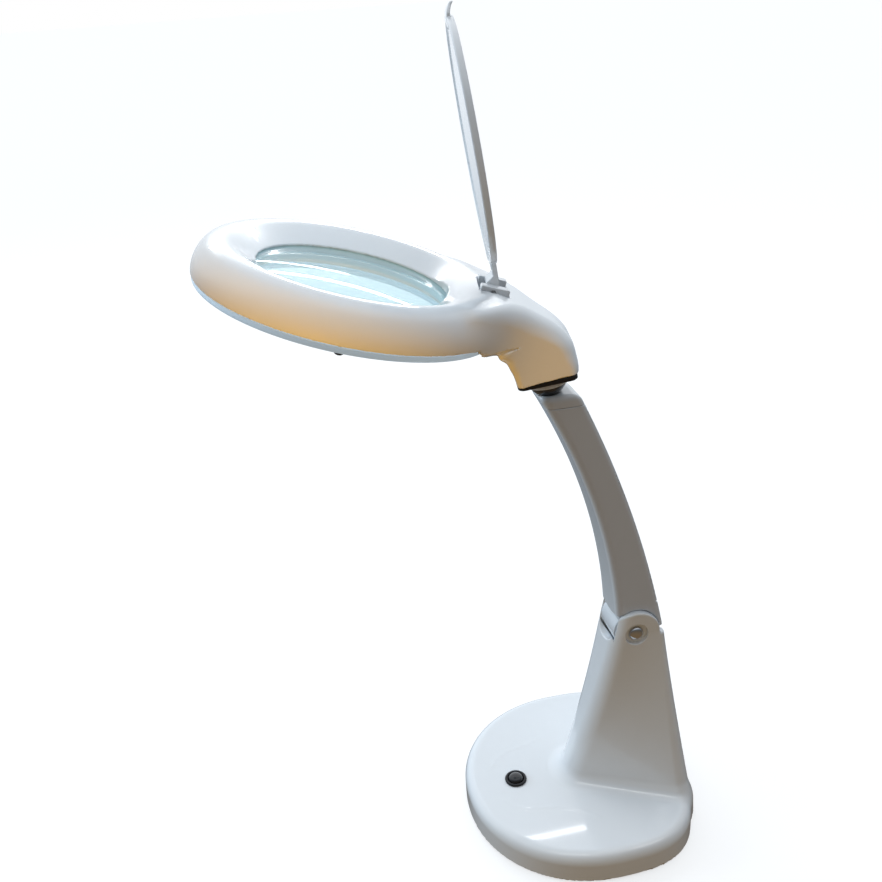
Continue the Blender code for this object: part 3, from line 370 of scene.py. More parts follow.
# ------------------------------------------------------------------ materials
def material(name, colour, rough, metal=0.0, coat=0.0, sss=0.0, vary=0.03, bump=0.0,
             bump_scale=900.0, grain=160.0, spec=0.5, emit=None):
    """Principled material; noise of scale `grain` varies its colour by `vary` either way,
    and its roughness. `emit` is (colour, strength)."""
    m = bpy.data.materials.new(name)
    m.use_nodes = True
    nodes, link = m.node_tree.nodes, m.node_tree.links.new
    body = nodes["Principled BSDF"]
    coords = nodes.new("ShaderNodeTexCoord")
    noise = nodes.new("ShaderNodeTexNoise")
    noise.inputs["Scale"].default_value = grain
    noise.inputs["Detail"].default_value = 3.0
    link(coords.outputs["Object"], noise.inputs["Vector"])
    # On a colour mix, inputs 6 and 7 are the two colours and output 2 the result.
    mix = nodes.new("ShaderNodeMix")
    mix.data_type = 'RGBA'
    link(noise.outputs["Fac"], mix.inputs[0])
    mix.inputs[6].default_value = (*[c * (1 - vary) for c in colour], 1)
    mix.inputs[7].default_value = (*[c * (1 + vary) for c in colour], 1)
    link(mix.outputs[2], body.inputs["Base Color"])
    # Map range inputs 3 and 4 are the ends of the output range.
    spread = nodes.new("ShaderNodeMapRange")
    link(noise.outputs["Fac"], spread.inputs[0])
    spread.inputs[3].default_value = rough * 0.9
    spread.inputs[4].default_value = rough * 1.1
    link(spread.outputs[0], body.inputs["Roughness"])
    settings = {
        "Metallic": metal, "IOR": 1.46, "Coat Weight": coat, "Coat Roughness": 0.04,
        "Specular IOR Level": spec, "Subsurface Weight": sss,
        "Subsurface Radius": (0.003, 0.003, 0.003),
    }
    if emit:
        settings["Emission Color"] = (*emit[0], 1)
        settings["Emission Strength"] = emit[1]
    for key, value in settings.items():
        body.inputs[key].default_value = value
    if bump:
        relief = nodes.new("ShaderNodeTexNoise")
        relief.inputs["Scale"].default_value = bump_scale
        relief.inputs["Detail"].default_value = 2.0
        link(coords.outputs["Object"], relief.inputs["Vector"])
        bumps = nodes.new("ShaderNodeBump")
        bumps.inputs["Strength"].default_value = bump
        bumps.inputs["Distance"].default_value = 0.0002
        link(relief.outputs["Fac"], bumps.inputs["Height"])
        link(bumps.outputs["Normal"], body.inputs["Normal"])
    return m


def glass(name, tint):
    """Clear glass without refraction: tinted by angle, a little body colour with a faint pale-blue
    emission as painted glow, and a gloss on front faces that grows with angle."""
    # painted glow: the lens's body colour emits faint pale-blue light though the lens is no lamp
    m = material(name, tint, rough=0.25, vary=0.01, emit=((0.72, 0.86, 0.95), 0.30))
    nodes, link = m.node_tree.nodes, m.node_tree.links.new

    def mixed(factor, first, second):
        node = nodes.new("ShaderNodeMixShader")
        if isinstance(factor, float):
            node.inputs[0].default_value = factor
        else:
            link(factor, node.inputs[0])
        link(first.outputs[0], node.inputs[1])
        link(second.outputs[0], node.inputs[2])
        return node

    clear = nodes.new("ShaderNodeBsdfTransparent")
    angle = nodes.new("ShaderNodeLayerWeight")
    angle.inputs["Blend"].default_value = 0.35
    ramp = nodes.new("ShaderNodeValToRGB")
    ramp.color_ramp.elements[0].color = (0.80, 0.905, 0.93, 1)
    ramp.color_ramp.elements[1].color = (0.73, 0.87, 0.905, 1)
    link(angle.outputs["Facing"], ramp.inputs[0])
    link(ramp.outputs[0], clear.inputs[0])
    bodied = mixed(0.20, clear, nodes["Principled BSDF"])
    gloss = nodes.new("ShaderNodeBsdfGlossy")
    gloss.inputs["Roughness"].default_value = 0.03
    geometry = nodes.new("ShaderNodeNewGeometry")
    front_face = nodes.new("ShaderNodeMath")
    front_face.operation = 'SUBTRACT'
    front_face.inputs[0].default_value = 1.0
    link(geometry.outputs["Backfacing"], front_face.inputs[1])
    strength = nodes.new("ShaderNodeMath")
    strength.operation = 'MULTIPLY'
    strength.inputs[1].default_value = 0.22
    link(angle.outputs["Facing"], strength.inputs[0])
    gloss_share = nodes.new("ShaderNodeMath")
    gloss_share.operation = 'MULTIPLY'
    link(strength.outputs[0], gloss_share.inputs[0])
    link(front_face.outputs[0], gloss_share.inputs[1])
    surface = mixed(gloss_share.outputs[0], bodied, gloss)
    link(surface.outputs[0], nodes["Material Output"].inputs[0])
    return m


WHITE = material("abs_white_gloss", (0.78, 0.815, 0.85), rough=0.30, coat=1.0, vary=0.012,
                 bump=0.03, bump_scale=60.0)
BLACK = material("plastic_black_gloss", (0.012, 0.012, 0.014), rough=0.16, coat=0.6, vary=0.2,
                 bump=0.05, bump_scale=300)
BLACK_SATIN = material("plastic_black_satin", (0.014, 0.014, 0.016), rough=0.38, vary=0.2,
                       bump=0.15, bump_scale=1500)
# painted glow: the diffuser emits pale-blue light, lifting its rim out of the shade under the ring
DIFFUSER = material("diffuser_pale_blue_painted_glow", (0.60, 0.74, 0.86), rough=0.22, coat=0.3, sss=0.2,
                    vary=0.03, bump=0.08, bump_scale=500, emit=((0.66, 0.82, 0.95), 0.30))
CHROME = material("steel_chromed", (0.62, 0.62, 0.63), rough=0.10, metal=1.0, vary=0.04,
                  bump=0.03, bump_scale=500)
STEEL = material("steel_zinc_plated", (0.50, 0.51, 0.52), rough=0.32, metal=1.0, vary=0.08,
                 bump=0.2)
BRASS = material("brass_turned", (0.72, 0.55, 0.28), rough=0.28, metal=1.0, vary=0.07, bump=0.15)
NYLON = material("nylon_natural", (0.80, 0.79, 0.72), rough=0.45, vary=0.04, bump=0.1)
RUBBER = material("foam_rubber_black", (0.02, 0.02, 0.022), rough=0.85, vary=0.3,
                  bump=0.8, bump_scale=1400)
IRON = material("cast_iron_painted", (0.07, 0.07, 0.075), rough=0.6, metal=0.3, vary=0.25,
                bump=0.8, bump_scale=500)
PCB = material("circuit_board_green", (0.03, 0.18, 0.08), rough=0.4, vary=0.25,
               bump=0.2, bump_scale=700)
COMPONENT = material("component_wrap", (0.05, 0.07, 0.16), rough=0.35, vary=0.2,
                     bump=0.1, bump_scale=700)
TUBE = material("tube_phosphor_white", (0.90, 0.91, 0.90), rough=0.2, coat=0.5, vary=0.02,
                bump=0.02, bump_scale=400)
REFLECT = material("reflector_white_paint", (0.86, 0.87, 0.87), rough=0.35, vary=0.03,
                   bump=0.05, bump_scale=700)
CABLE = material("cable_pvc_white", (0.78, 0.78, 0.76), rough=0.45, vary=0.05, bump=0.2)
# painted light: the retaining ring is coloured pale aqua so that, seen through the lens edge, it
# shows a light teal instead of shade
CLAMP = material("clamp_ring_painted_lens_light", (0.62, 0.86, 0.88), rough=0.25, vary=0.02,
                 bump=0.05, bump_scale=500)
LENS = glass("lens_glass_cyan", (0.72, 0.93, 0.95))

CAD_MATERIALS = {
    "base_pad": RUBBER, "base_weight": IRON, "power_socket": BLACK_SATIN, "ballast_board": PCB,
    "ballast_choke": COMPONENT, "ballast_capacitor": COMPONENT, "lamp_terminal": NYLON,
    "switch_nut": STEEL, "friction_washer_right": NYLON, "friction_washer_left": NYLON,
    "arm_core": STEEL, "arm_cable": CABLE, "pivot_bush": BRASS, "ball_stem": STEEL,
    "stem_nut": BRASS, "ball_liner": NYLON, "socket_cup": BRASS, "socket_housing": STEEL,
    "socket_spring": STEEL, "head_reflector": REFLECT, "ring_tube": TUBE,
    "tube_socket": REFLECT, "hinge_pin": STEEL, "head_lead": CABLE, "pivot_nut": CHROME,
}


def cad_material(name):
    if name in CAD_MATERIALS:
        return CAD_MATERIALS[name]
    if name.startswith(("base_screw", "plate_screw", "tube_clip")):
        return STEEL
    return BLACK if name.startswith("diffuser_screw") else WHITE


for node_name, cad_ob in frame["nodes"].items():
    cad_ob.data.materials.clear()
    cad_ob.data.materials.append(cad_material(node_name))


# ------------------------------------------------------------------ base and tower
# Soft step over the base's top, either side of the button: (|x|, y)
CONTOUR = [
    (15.7, -58.4), (20.8, -54.7), (25.4, -47.8), (27.9, -38.3), (29.7, -28.6), (32.2, -21.2),
    (36.2, -14.3), (40.9, -8.9), (46.3, -3.7),
]
BOTTOM_SCREWS = ((-50, -34), (50, -34), (-52, 34), (52, 34))    # x, y


def base_outline(x, y):
    """Approximate distance to the superellipse outline of the slab."""
    depth = np.where(y > 0, BASE_REAR, BASE_FRONT)
    e = np.where(y > 0, REAR_EXPONENT, FRONT_EXPONENT)
    u, v = np.abs(x) / BASE_HALF_W + 1e-6, np.abs(y) / depth + 1e-6
    s = u ** e + v ** e + 1e-12
    phi = s ** (1 / e)
    slope_x = phi ** (1 - e) * u ** (e - 1) / BASE_HALF_W
    slope_y = phi ** (1 - e) * v ** (e - 1) / depth
    return (phi - 1) / np.sqrt(slope_x * slope_x + slope_y * slope_y + 1e-12)


def tower(x, y, z):
    """Each level is the hull of two front and two rear circles, mirrored in x."""
    drop = 133.0 - z
    taper = np.clip(drop / 108.0, 0.0, 1.0)
    front_edge = 16.3 - 0.208 * drop - 0.0006 * drop * np.abs(drop)
    rear_edge = 49.0 + 0.105 * np.maximum(drop, -6)
    half_width = EAR_HALF + 24.5 * taper ** 1.25
    front_r, rear_r = 9.0 + 6.0 * taper, 4.0 + 4.0 * taper
    front_x, front_y = 8.0 * (1 - taper) + 0.02, front_edge + front_r
    rear_x, rear_y = half_width - rear_r, rear_edge - rear_r
    # The side is the common tangent of the two circles, with normal (nx, ny).
    dx, dy = rear_x - front_x, rear_y - front_y
    length = np.sqrt(dx * dx + dy * dy)
    ux, uy = dx / length, dy / length
    s = np.clip((front_r - rear_r) / length, -0.99, 0.99)
    c = np.sqrt(1 - s * s)
    nx, ny = uy * c + ux * s, -ux * c + uy * s
    ax = np.abs(x)
    side = (ax - front_x) * nx + (y - front_y) * ny - front_r
    along = (ax - front_x) * -ny + (y - front_y) * nx
    side_len = (rear_x - front_x) * -ny + (rear_y - front_y) * nx
    front = np.sqrt(np.maximum(ax - front_x, 0) ** 2 + (y - front_y) ** 2) - front_r
    rear = np.sqrt((ax - rear_x) ** 2 + (y - rear_y) ** 2) - rear_r
    front_flat, rear_flat = front_edge - y, y - rear_edge
    d = np.where(along < 0, front, side)
    d = np.where(along > side_len, rear, d)
    d = np.where((ax < front_x) & (y < front_y), front_flat, d)
    d = np.where((ax < rear_x) & (y > rear_y), rear_flat, d)
    between = (ax < rear_x) & (y <= rear_y) & (y >= front_y) & (along >= 0) & (along <= side_len)
    d = np.where(between, np.maximum(side, np.maximum(rear_flat, front_flat)), d)
    return d * 0.96


def contour_distance(x, y):
    ax = np.abs(x)
    d = np.full(np.broadcast(x, y).shape, 1e3)
    for (x0, y0), (x1, y1) in zip(CONTOUR[:-1], CONTOUR[1:]):
        dx, dy = x1 - x0, y1 - y0
        t = np.clip(((ax - x0) * dx + (y - y0) * dy) / (dx * dx + dy * dy), 0, 1)
        d = np.minimum(d, np.hypot(ax - x0 - t * dx, y - y0 - t * dy))
    return d


def base_solid(x, y, z):
    slab = round_max(base_outline(x, y), z - BASE_H, BASE_FILLET)
    ridge = np.exp(-(contour_distance(x, y) / 1.3) ** 2) * smooth_step(17, 20, z)
    slab = slab - 0.11 * ridge
    ears = smooth_min(z - (PIVOT_Z - 2.0), pivot_distance(y, z) - EAR_R, 4.0)
    return round_min(slab, round_max(tower(x, y, z), ears, 1.1), 9.0)


def base_cover(x, y, z):
    wall, hollow_top, underside = 2.8, 108.0, 0.9
    solid = base_solid(x, y, z)
    d = carve(solid, np.maximum(solid + wall, z - hollow_top))
    d = np.maximum(d, underside - z)
    rho = pivot_distance(y, z)
    # slot between the ears, with a round floor and room for the knuckle
    slot = np.where(z > SLOT_ROUND_Z, np.abs(x) - SLOT_HALF,
                    np.hypot(x, z - SLOT_ROUND_Z) - SLOT_HALF)
    slot = np.minimum(slot, np.maximum(rho - 14.2, np.abs(x) - SLOT_HALF))
    d = carve(d, slot, 0.55)
    recess = np.maximum(rho - RECESS_R, (EAR_HALF - RECESS_DEPTH) - x)
    recess_neg = np.maximum(rho - RECESS_R_NEG, (EAR_HALF - RECESS_DEPTH) + x)
    d = carve(d, np.minimum(recess, recess_neg), 0.45)
    d = carve(d, rho - 3.3)             # bolt hole
    d = carve(d, np.maximum(np.hypot(x - BUTTON_X, y - BUTTON_Y) - 6.6, 10 - z))
    socket_hole = np.maximum(np.hypot(x, z - 10.2) - 4.3, 52 - y)
    return carve(d, socket_hole, 0.4)


def bottom_cover(x, y, z):
    inset, mid_z, half_thick = 3.2, 2.8, 1.2
    d = base_outline(x, y) + inset
    d = round_max(d, np.abs(z - mid_z) - half_thick, 0.4)
    for screw_x, screw_y in BOTTOM_SCREWS:
        r = np.hypot(x - screw_x, y - screw_y)
        d = carve(d, np.minimum(r - 1.9, np.maximum(r - 3.3, z - 2.9)))     # hole, head recess
    return d


base = fit(moulded("base_cover", base_cover, (-79, -81, -1.0), (79, 65, 150.5), 1.5, WHITE,
                   fine_x=((-19, 19, 0.62),),
                   fine_y=((13, 50, 0.75), (-60, 13, 1.1)),
                   fine_z=((11, 22.5, 0.7), (22.5, 30, 1.0), (116, 151, 0.62))),
           "base", "base_shell")
fit(moulded("base_bottom_cover", bottom_cover, (-76, -78, 0.6), (76, 62, 5.0), 1.5, WHITE,
            fine_z=((0, 6, 0.4),)),
    "base", "base_bottom_plate")

# Profiles are (radius, height). The bezel starts at the middle of its underside.
bezel = [
    (0, 6.2), (5.6, 6.2), (6.2, 7.0), (6.2, BASE_H + 0.25), (7.2, BASE_H + 0.25),
    (7.2, BASE_H + 0.9), (6.7, BASE_H + 1.5), (5.9, BASE_H + 1.6), (5.4, BASE_H + 1.2),
    (5.4, 10.6), (0, 10.6),
]
fit(lathe("switch_bezel", softened(bezel, 0.45), BLACK_SATIN, BUTTON_FRAME),
    "base", "switch_body")
button = dome(radius=5.1, top=3.9, rise=3.7, sweep=86)
button += [(5.1, -0.4), (5.1, -6.6), (3.0, -6.6), (3.0, -7.4), (0, -7.4)]
fit(lathe("switch_cap", button, BLACK, BUTTON_TOP_FRAME), "switch", "switch_button")
bolt = dome(radius=4.7, top=17.9, rise=3.0, sweep=88)
bolt += [(4.7, 14.65), (3.0, 14.6), (3.0, -16.4), (2.4, -16.9), (0, -16.9)]
fit(lathe("pivot_bolt_domed", bolt, CHROME, PIVOT_FRAME), "base", "pivot_bolt")


# ------------------------------------------------------------------ arm
def curve_at(curve, z):
    """y, dy/dz and the parameter t of a quadratic curve at height z."""
    (y0, z0), (y1, z1), (y2, z2) = curve
    a, b = z0 - 2 * z1 + z2, 2 * (z1 - z0)
    zc = np.maximum(z, z0)
    root = np.sqrt(np.maximum(b * b - 4 * a * (z0 - zc), 1e-6))
    t = 2 * (zc - z0) / (b + root)
    y = (1 - t) ** 2 * y0 + 2 * t * (1 - t) * y1 + t * t * y2
    dy = 2 * (1 - t) * (y1 - y0) + 2 * t * (y2 - y1)
    dz = 2 * (1 - t) * (z1 - z0) + 2 * t * (z2 - z1)
    return y, dy / dz, t


def arm_faces(x, y, z):
    """Distances to the arm's front, rear and side faces."""
    front_y, front_slope, t = curve_at(ARM_FRONT, z)
    rear_y, rear_slope, _ = curve_at(ARM_REAR, z)
    front = (front_y - y) / np.sqrt(1 + front_slope * front_slope)
    rear = (y - rear_y) / np.sqrt(1 + rear_slope * rear_slope)
    half = ARM_HALF_LOW + (ARM_HALF_TOP - ARM_HALF_LOW) * np.clip(t, 0, 1.1)
    return front, rear, np.abs(x) - half


def arm_solid(x, y, z):
    front, rear, side = arm_faces(x, y, z)
    d = round_max(round_max(front, side, 5.0), round_max(rear, side, 3.2), 3.2)
    return round_max(d, z - ARM_TOP_Z, 3.8)


def arm_moulding(x, y, z):
    front, rear, side = arm_faces(x, y, z)
    behind, above = y - PIVOT_Y, z - PIVOT_Z
    rho = pivot_distance(y, z)
    ax = np.abs(x)
    # full-width part, with a bowed lower edge in front and a round clearance for the ears
    lower_edge = 144.3 + 3.0 * (x / 14.0) ** 2 - z
    upper = round_max(arm_solid(x, y, z), np.where(behind < 2, lower_edge, -1e3), 0.6)
    upper = carve(upper, rho - 15.5, 0.35)
    upper = np.maximum(upper, PIVOT_Z + 1.0 - z)
    # narrow tongue down into the slot, trimmed behind the pivot, and the round knuckle
    side_of_tongue = ax - KNUCKLE_HALF
    tongue = round_max(round_max(front + 1.9, rear + 1.0, 1.5), side_of_tongue, 0.8)
    tongue = np.maximum(tongue, 133.0 - z)
    zone = np.maximum(np.maximum(ax - 11.6, 10.4 - behind), above - 16.8)
    tongue = np.maximum(tongue, np.minimum(-zone, rho - 13.6))
    tongue = np.maximum(tongue, z - 230)
    knuckle = round_max(rho - KNUCKLE_R, side_of_tongue, 0.6)
    d = np.minimum(upper, np.minimum(tongue, knuckle))
    # channel for the strip up the rear face
    channel = np.maximum(np.maximum(side + 2.3, -(rear + 2.3)),
                         np.maximum(151.5 - z, z - 286.5))
    d = carve(d, channel)
    d = carve(d, rho - 4.5)
    return round_max(d, z - (CAP_Z - CAP_GAP), 0.01)


def back_strip(x, y, z):
    _, rear, side = arm_faces(x, y, z)
    ends = np.maximum(151.9 - z, z - 286.1)
    return round_max(round_max(rear, side + 2.6, 0.7), round_max(-(rear + 2.2), ends, 0.3), 0.3)


def arm_cap(x, y, z):
    d = round_max(arm_solid(x, y, z), (CAP_Z + CAP_GAP) - z, 0.01)
    r = np.sqrt(x * x + (y - BALL.y) ** 2 + (z - BALL.z) ** 2)
    return carve(d, r - (BALL_R + 0.35), 0.45)


fit(moulded("arm_moulding", arm_moulding, (-16.5, -27, 118), (16.5, 51, 291.5), 0.95, WHITE,
            fine_y=((-30, 55, 0.95),), fine_z=((118, 156, 0.62),)),
    "arm", "arm_shell")
fit(moulded("arm_back_strip", back_strip, (-14, -8, 150), (14, 52, 288), 0.9, WHITE),
    "arm", "arm_rear_cover")
fit(moulded("arm_cap_moulding", arm_cap, (-14.5, -28, 288.5), (14.5, 3, 298), 0.6, WHITE),
    "arm", "arm_top_cap")

# Ball: large lower zone, smaller dome above, bored through
ball = arc(BALL_R, -acos(BALL_BORE_R / BALL_R), asin(0.4 / BALL_R), 24)
ball += [(DOME_R + 1.9, 0.8), (DOME_R + 0.3, 0.95)]
ball += arc(DOME_R, asin(1.0 / DOME_R), radians(52), 12)
ball += [(BALL_BORE_R, DOME_R * sin(radians(52)))]
fit(lathe("ball_black", ball, BLACK, Matrix.Translation(BALL)), "arm", "ball")

# ------------------------------------------------------------------ head
# Neck profile in the head frame, closed: (y, z)
NECK_CENTRE = (92.0, -16.0)
NECK_TOP = [
    (63.7, 3.4), (73.7, 4.7), (81.7, 4.6), (91.4, 2.2), (103.2, -1.8), (113.3, -6.3),
    (119.9, -11.8), (123.6, -18.0), (126.1, -23.6), (126.9, -28.6),
]
NECK_END = [(126.4, -36.0), (120.0, -45.0), (108.0, -49.0)]
NECK_UNDER = [
    (97.2, -41.3), (94.0, -36.6), (90.1, -31.4), (85.8, -26.7), (80.7, -23.4), (73.7, -21.6),
    (61.7, -20.9),
]
NECK_ROOT = [(52.0, -17.0), (48.0, -8.0), (54.0, 1.5)]
# Ring section, closed: (radius, z)
RING_CENTRE_RZ = (66.5, -10.5)
RING_SECTION = [
    (44.0, -9.0), (45.5, -6.6), (48.6, -4.6), (51.4, -3.0), (56.0, -0.4), (61.0, 2.2),
    (64.3, 3.7), (67.3, 4.4), (70.6, 4.0), (74.5, 2.1), (77.9, -1.6), (80.4, -6.6),
    (81.4, -12.0), (81.1, -15.8), (79.0, -20.5), (72.0, -25.0), (60.0, -25.0), (47.0, -17.0),
]


def periodic_spline(angles, radii):
    """Smooth closed curve through (angle, radius) samples; gives radius and slope at an angle."""
    angles, radii = np.array(angles), np.array(radii)
    order = np.argsort(angles)
    angles, radii = angles[order], radii[order]
    n = len(angles)
    gaps = np.diff(np.append(angles, angles[0] + 2 * pi))
    system, target = np.zeros((n, n)), np.zeros(n)
    for i in range(n):
        before, after = gaps[i - 1], gaps[i]
        system[i, i - 1] += before
        system[i, i] += 2 * (before + after)
        system[i, (i + 1) % n] += after
        target[i] = 6 * ((radii[(i + 1) % n] - radii[i]) / after
                         - (radii[i] - radii[i - 1]) / before)
    bend = np.linalg.solve(system, target)

    def evaluate(angle):
        angle = (angle - angles[0]) % (2 * pi) + angles[0]
        i = np.clip(np.searchsorted(angles, angle, side='right') - 1, 0, n - 1)
        j = (i + 1) % n
        gap = gaps[i]
        s = angle - angles[i]
        q = gap - s
        at_i = radii[i] / gap - bend[i] * gap / 6
        at_j = radii[j] / gap - bend[j] * gap / 6
        value = (bend[i] * q ** 3 + bend[j] * s ** 3) / (6 * gap) + at_i * q + at_j * s
        slope = (-bend[i] * q ** 2 + bend[j] * s ** 2) / (2 * gap) - at_i + at_j
        return value, slope
    return evaluate


def closed_profile(centre, points):
    """Distance function of a smooth closed profile through the points, seen from centre."""
    curve = periodic_spline([atan2(v - centre[1], u - centre[0]) for u, v in points],
                            [hypot(u - centre[0], v - centre[1]) for u, v in points])

    def distance(u, v):
        du, dv = u - centre[0], v - centre[1]
        radius, slope = curve(np.arctan2(dv, du))
        return (np.hypot(du, dv) + 1e-6 - radius) / np.sqrt(1 + (slope / radius) ** 2)
    return distance


neck_profile = closed_profile(NECK_CENTRE, NECK_TOP + NECK_END + NECK_UNDER + NECK_ROOT)
ring_profile = closed_profile(RING_CENTRE_RZ, RING_SECTION)


def head_solid(x, y, z):
    ring = np.maximum(ring_profile(np.hypot(x, y), z), SEAM_Z - z)
    # the neck flares into the ring, and its edges are rounder on top
    flare = 31.0 * np.exp(-(np.maximum(y - 58.0, 0) / 25.0) ** 1.7)
    side = np.abs(x) - (NECK_HALF + flare)
    upper = smooth_step(-32, -6, z) * smooth_step(60, 84, y)
    neck = round_max(neck_profile(y, z), side, 4.2 + 6.5 * upper)
    neck = np.maximum(neck, 40 - y)
    return smooth_min(ring, neck, 12.0)


def head_moulding(x, y, z):
    solid = head_solid(x, y, z)
    rho = np.hypot(x, y)
    d = carve(solid, np.maximum(solid + 2.4, 55.6 - rho))       # hollow
    under = np.maximum(z - SEAM_Z, rho - (84.0 - 3.2 * smooth_step(56, 72, y)))
    d = carve(d, under, 0.35)
    plate_z = (y - BALL_IN_HEAD[0]) * -PLATE_SIN + (z - BALL_IN_HEAD[1]) * PLATE_COS
    d = round_max(d, (PLATE_Z + 1.3) - plate_z, 0.35)
    # lens opening, stepped out below to seat the lens
    bore = np.minimum(rho - LENS_OPEN_R, np.maximum(rho - (LENS_R + 0.6), z + 5.0))
    d = carve(d, bore, 0.5)
    hinge_pocket = rounded_box(x, y, z, (-12.9, 64.6, 1.0), (12.9, 80.6, 20.0), 0.3)
    return carve(d, hinge_pocket, 0.3)


head = fit(moulded("head_moulding", head_moulding, (-83.5, -83.5, -43.5), (83.5, 129, 9), 1.0,
                   WHITE, fine_y=((62, 130, 0.8),), fine_z=((-43.5, 9, 0.8),), at=HEAD_FRAME),
           "head", "head_upper_shell")


def lens_profile():
    """Two equal convex faces, meeting the rim at its top and bottom edges."""
    curvature_r, rim_top, rim_bottom, steps = 333.0, -5.4, -8.4, 24
    sag = curvature_r - sqrt(curvature_r * curvature_r - LENS_R ** 2)
    top_centre, bottom_centre = rim_top + sag - curvature_r, rim_bottom - sag + curvature_r
    radii = [LENS_R * k / steps for k in range(steps + 1)]
    top = [(r, top_centre + sqrt(curvature_r ** 2 - r ** 2)) for r in radii]
    bottom = [(r, bottom_centre - sqrt(curvature_r ** 2 - r ** 2)) for r in radii[::-1]]
    return top + bottom


lens = fit(lathe("lens_glass", lens_profile(), LENS, HEAD_FRAME, segments=160, sharp=25),
           "head", "lens")
clamp_ring = [(50.2, -8.9), (52.8, -8.9), (52.8, -12.4), (50.2, -12.4)]
fit(lathe("lens_clamp_ring", softened(clamp_ring, 0.4), CLAMP, HEAD_FRAME, segments=144),
    "head", "lens_retaining_ring")


def diffuser_tray(x, y, z):
    """Ring-shaped tray, open at the top, with three screw holes."""
    rho = np.hypot(x, y)
    outer = round_max(round_max(rho - 80.6, 53.5 - rho, 0.4), -19.3 - z, 2.4)
    outer = np.maximum(outer, z + 15.75)
    inner = np.maximum(np.maximum(rho - 79.1, 55.0 - rho), -17.8 - z)
    d = carve(outer, inner)
    for a in DIFFUSER_SCREW_ANGLES:
        hole = np.hypot(x - DIFFUSER_SCREW_R * cos(a), y - DIFFUSER_SCREW_R * sin(a)) - 1.4
        d = carve(d, hole)
    return d


fit(moulded("diffuser_tray", diffuser_tray, (-82, -82, -20.5), (82, 82, -15), 1.0, DIFFUSER,
            fine_z=((-21, -14, 0.45),), at=HEAD_FRAME),
    "head", "diffuser")
screw = [(0, -21.4), (1.6, -21.2), (2.5, -20.4), (2.6, -19.7), (0.8, -19.7), (0.8, -8.4), (0, -7.8)]
for number, a in enumerate(DIFFUSER_SCREW_ANGLES, 1):
    place = Matrix.Translation((DIFFUSER_SCREW_R * cos(a), DIFFUSER_SCREW_R * sin(a), 0))
    fit(lathe("diffuser_fixing_%d" % number, softened(screw, 0.3), BLACK, HEAD_FRAME @ place,
              segments=40),
        "head", "diffuser_screw_%d" % number)

# Socket ring under the neck, with a spherical seat round the ball
retainer_top = PLATE_Z - 1.8
seat_r = BALL_R + 0.25
retainer = [
    (15.9, retainer_top), (15.9, retainer_top - 1.6), (15.3, retainer_top - 2.1),
    (12.9, retainer_top - 2.3), (12.5, -2.9),
]
retainer += [(sqrt(seat_r * seat_r - z * z), z)
             for z in (-2.9, -2.2, -1.6, -1.0, -0.4, retainer_top)]
fit(lathe("socket_retainer", retainer, WHITE, PLATE_FRAME), "head", "socket_ring")


def neck_plate(x, y, z):
    """Rounded plate closing the neck, with a hole for the ball and four screw holes."""
    margin, corner = 0.3, 4.4
    qx = np.abs(x) - (NECK_HALF + margin - corner)
    qy = np.abs(y - (PLATE_Y0 + PLATE_Y1) / 2) - ((PLATE_Y1 - PLATE_Y0) / 2 + margin - corner)
    d = np.sqrt(np.maximum(qx, 0) ** 2 + np.maximum(qy, 0) ** 2)
    d = d + np.minimum(np.maximum(qx, qy), 0) - corner
    mid_z = PLATE_Z - 0.25
    d = round_max(d, np.abs(z - mid_z) - 1.25, 0.35)
    d = carve(d, np.hypot(x, y) - 11.75)
    for side in (-1, 1):
        for screw_y in (PLATE_Y0 + 3.6, PLATE_Y1 - 3.6):
            d = carve(d, np.hypot(x - side * 14.0, y - screw_y) - 1.6)
    return d


fit(moulded("neck_end_plate", neck_plate, (-19.5, PLATE_Y0 - 1.5, 0.5),
            (19.5, PLATE_Y1 + 1.5, 4.9), 0.6, BLACK_SATIN,
            fine_z=((0, 5, 0.35),), at=PLATE_FRAME),
    "head", "neck_plate")


def hinge_block(x, y, z):
    """Block with a gap for the lid's knuckle and a hole for the pin."""
    d = rounded_box(x, y, z, (-12.5, 64.9, 1.3), (12.5, 80.2, 8.35), 0.8)
    gap = rounded_box(x, y, z, (-6.6, 60.0, 2.0), (6.6, 84.0, 15.0), 0.3)
    d = carve(d, gap, 0.3)
    return carve(d, np.hypot(y - HINGE_Y, z - HINGE_Z) - 1.35)


fit(moulded("lid_hinge_block", hinge_block, (-13.2, 64, 0.6), (13.2, 81, 9.2), 0.45, WHITE,
            at=HEAD_FRAME),
    "head", "hinge_block")


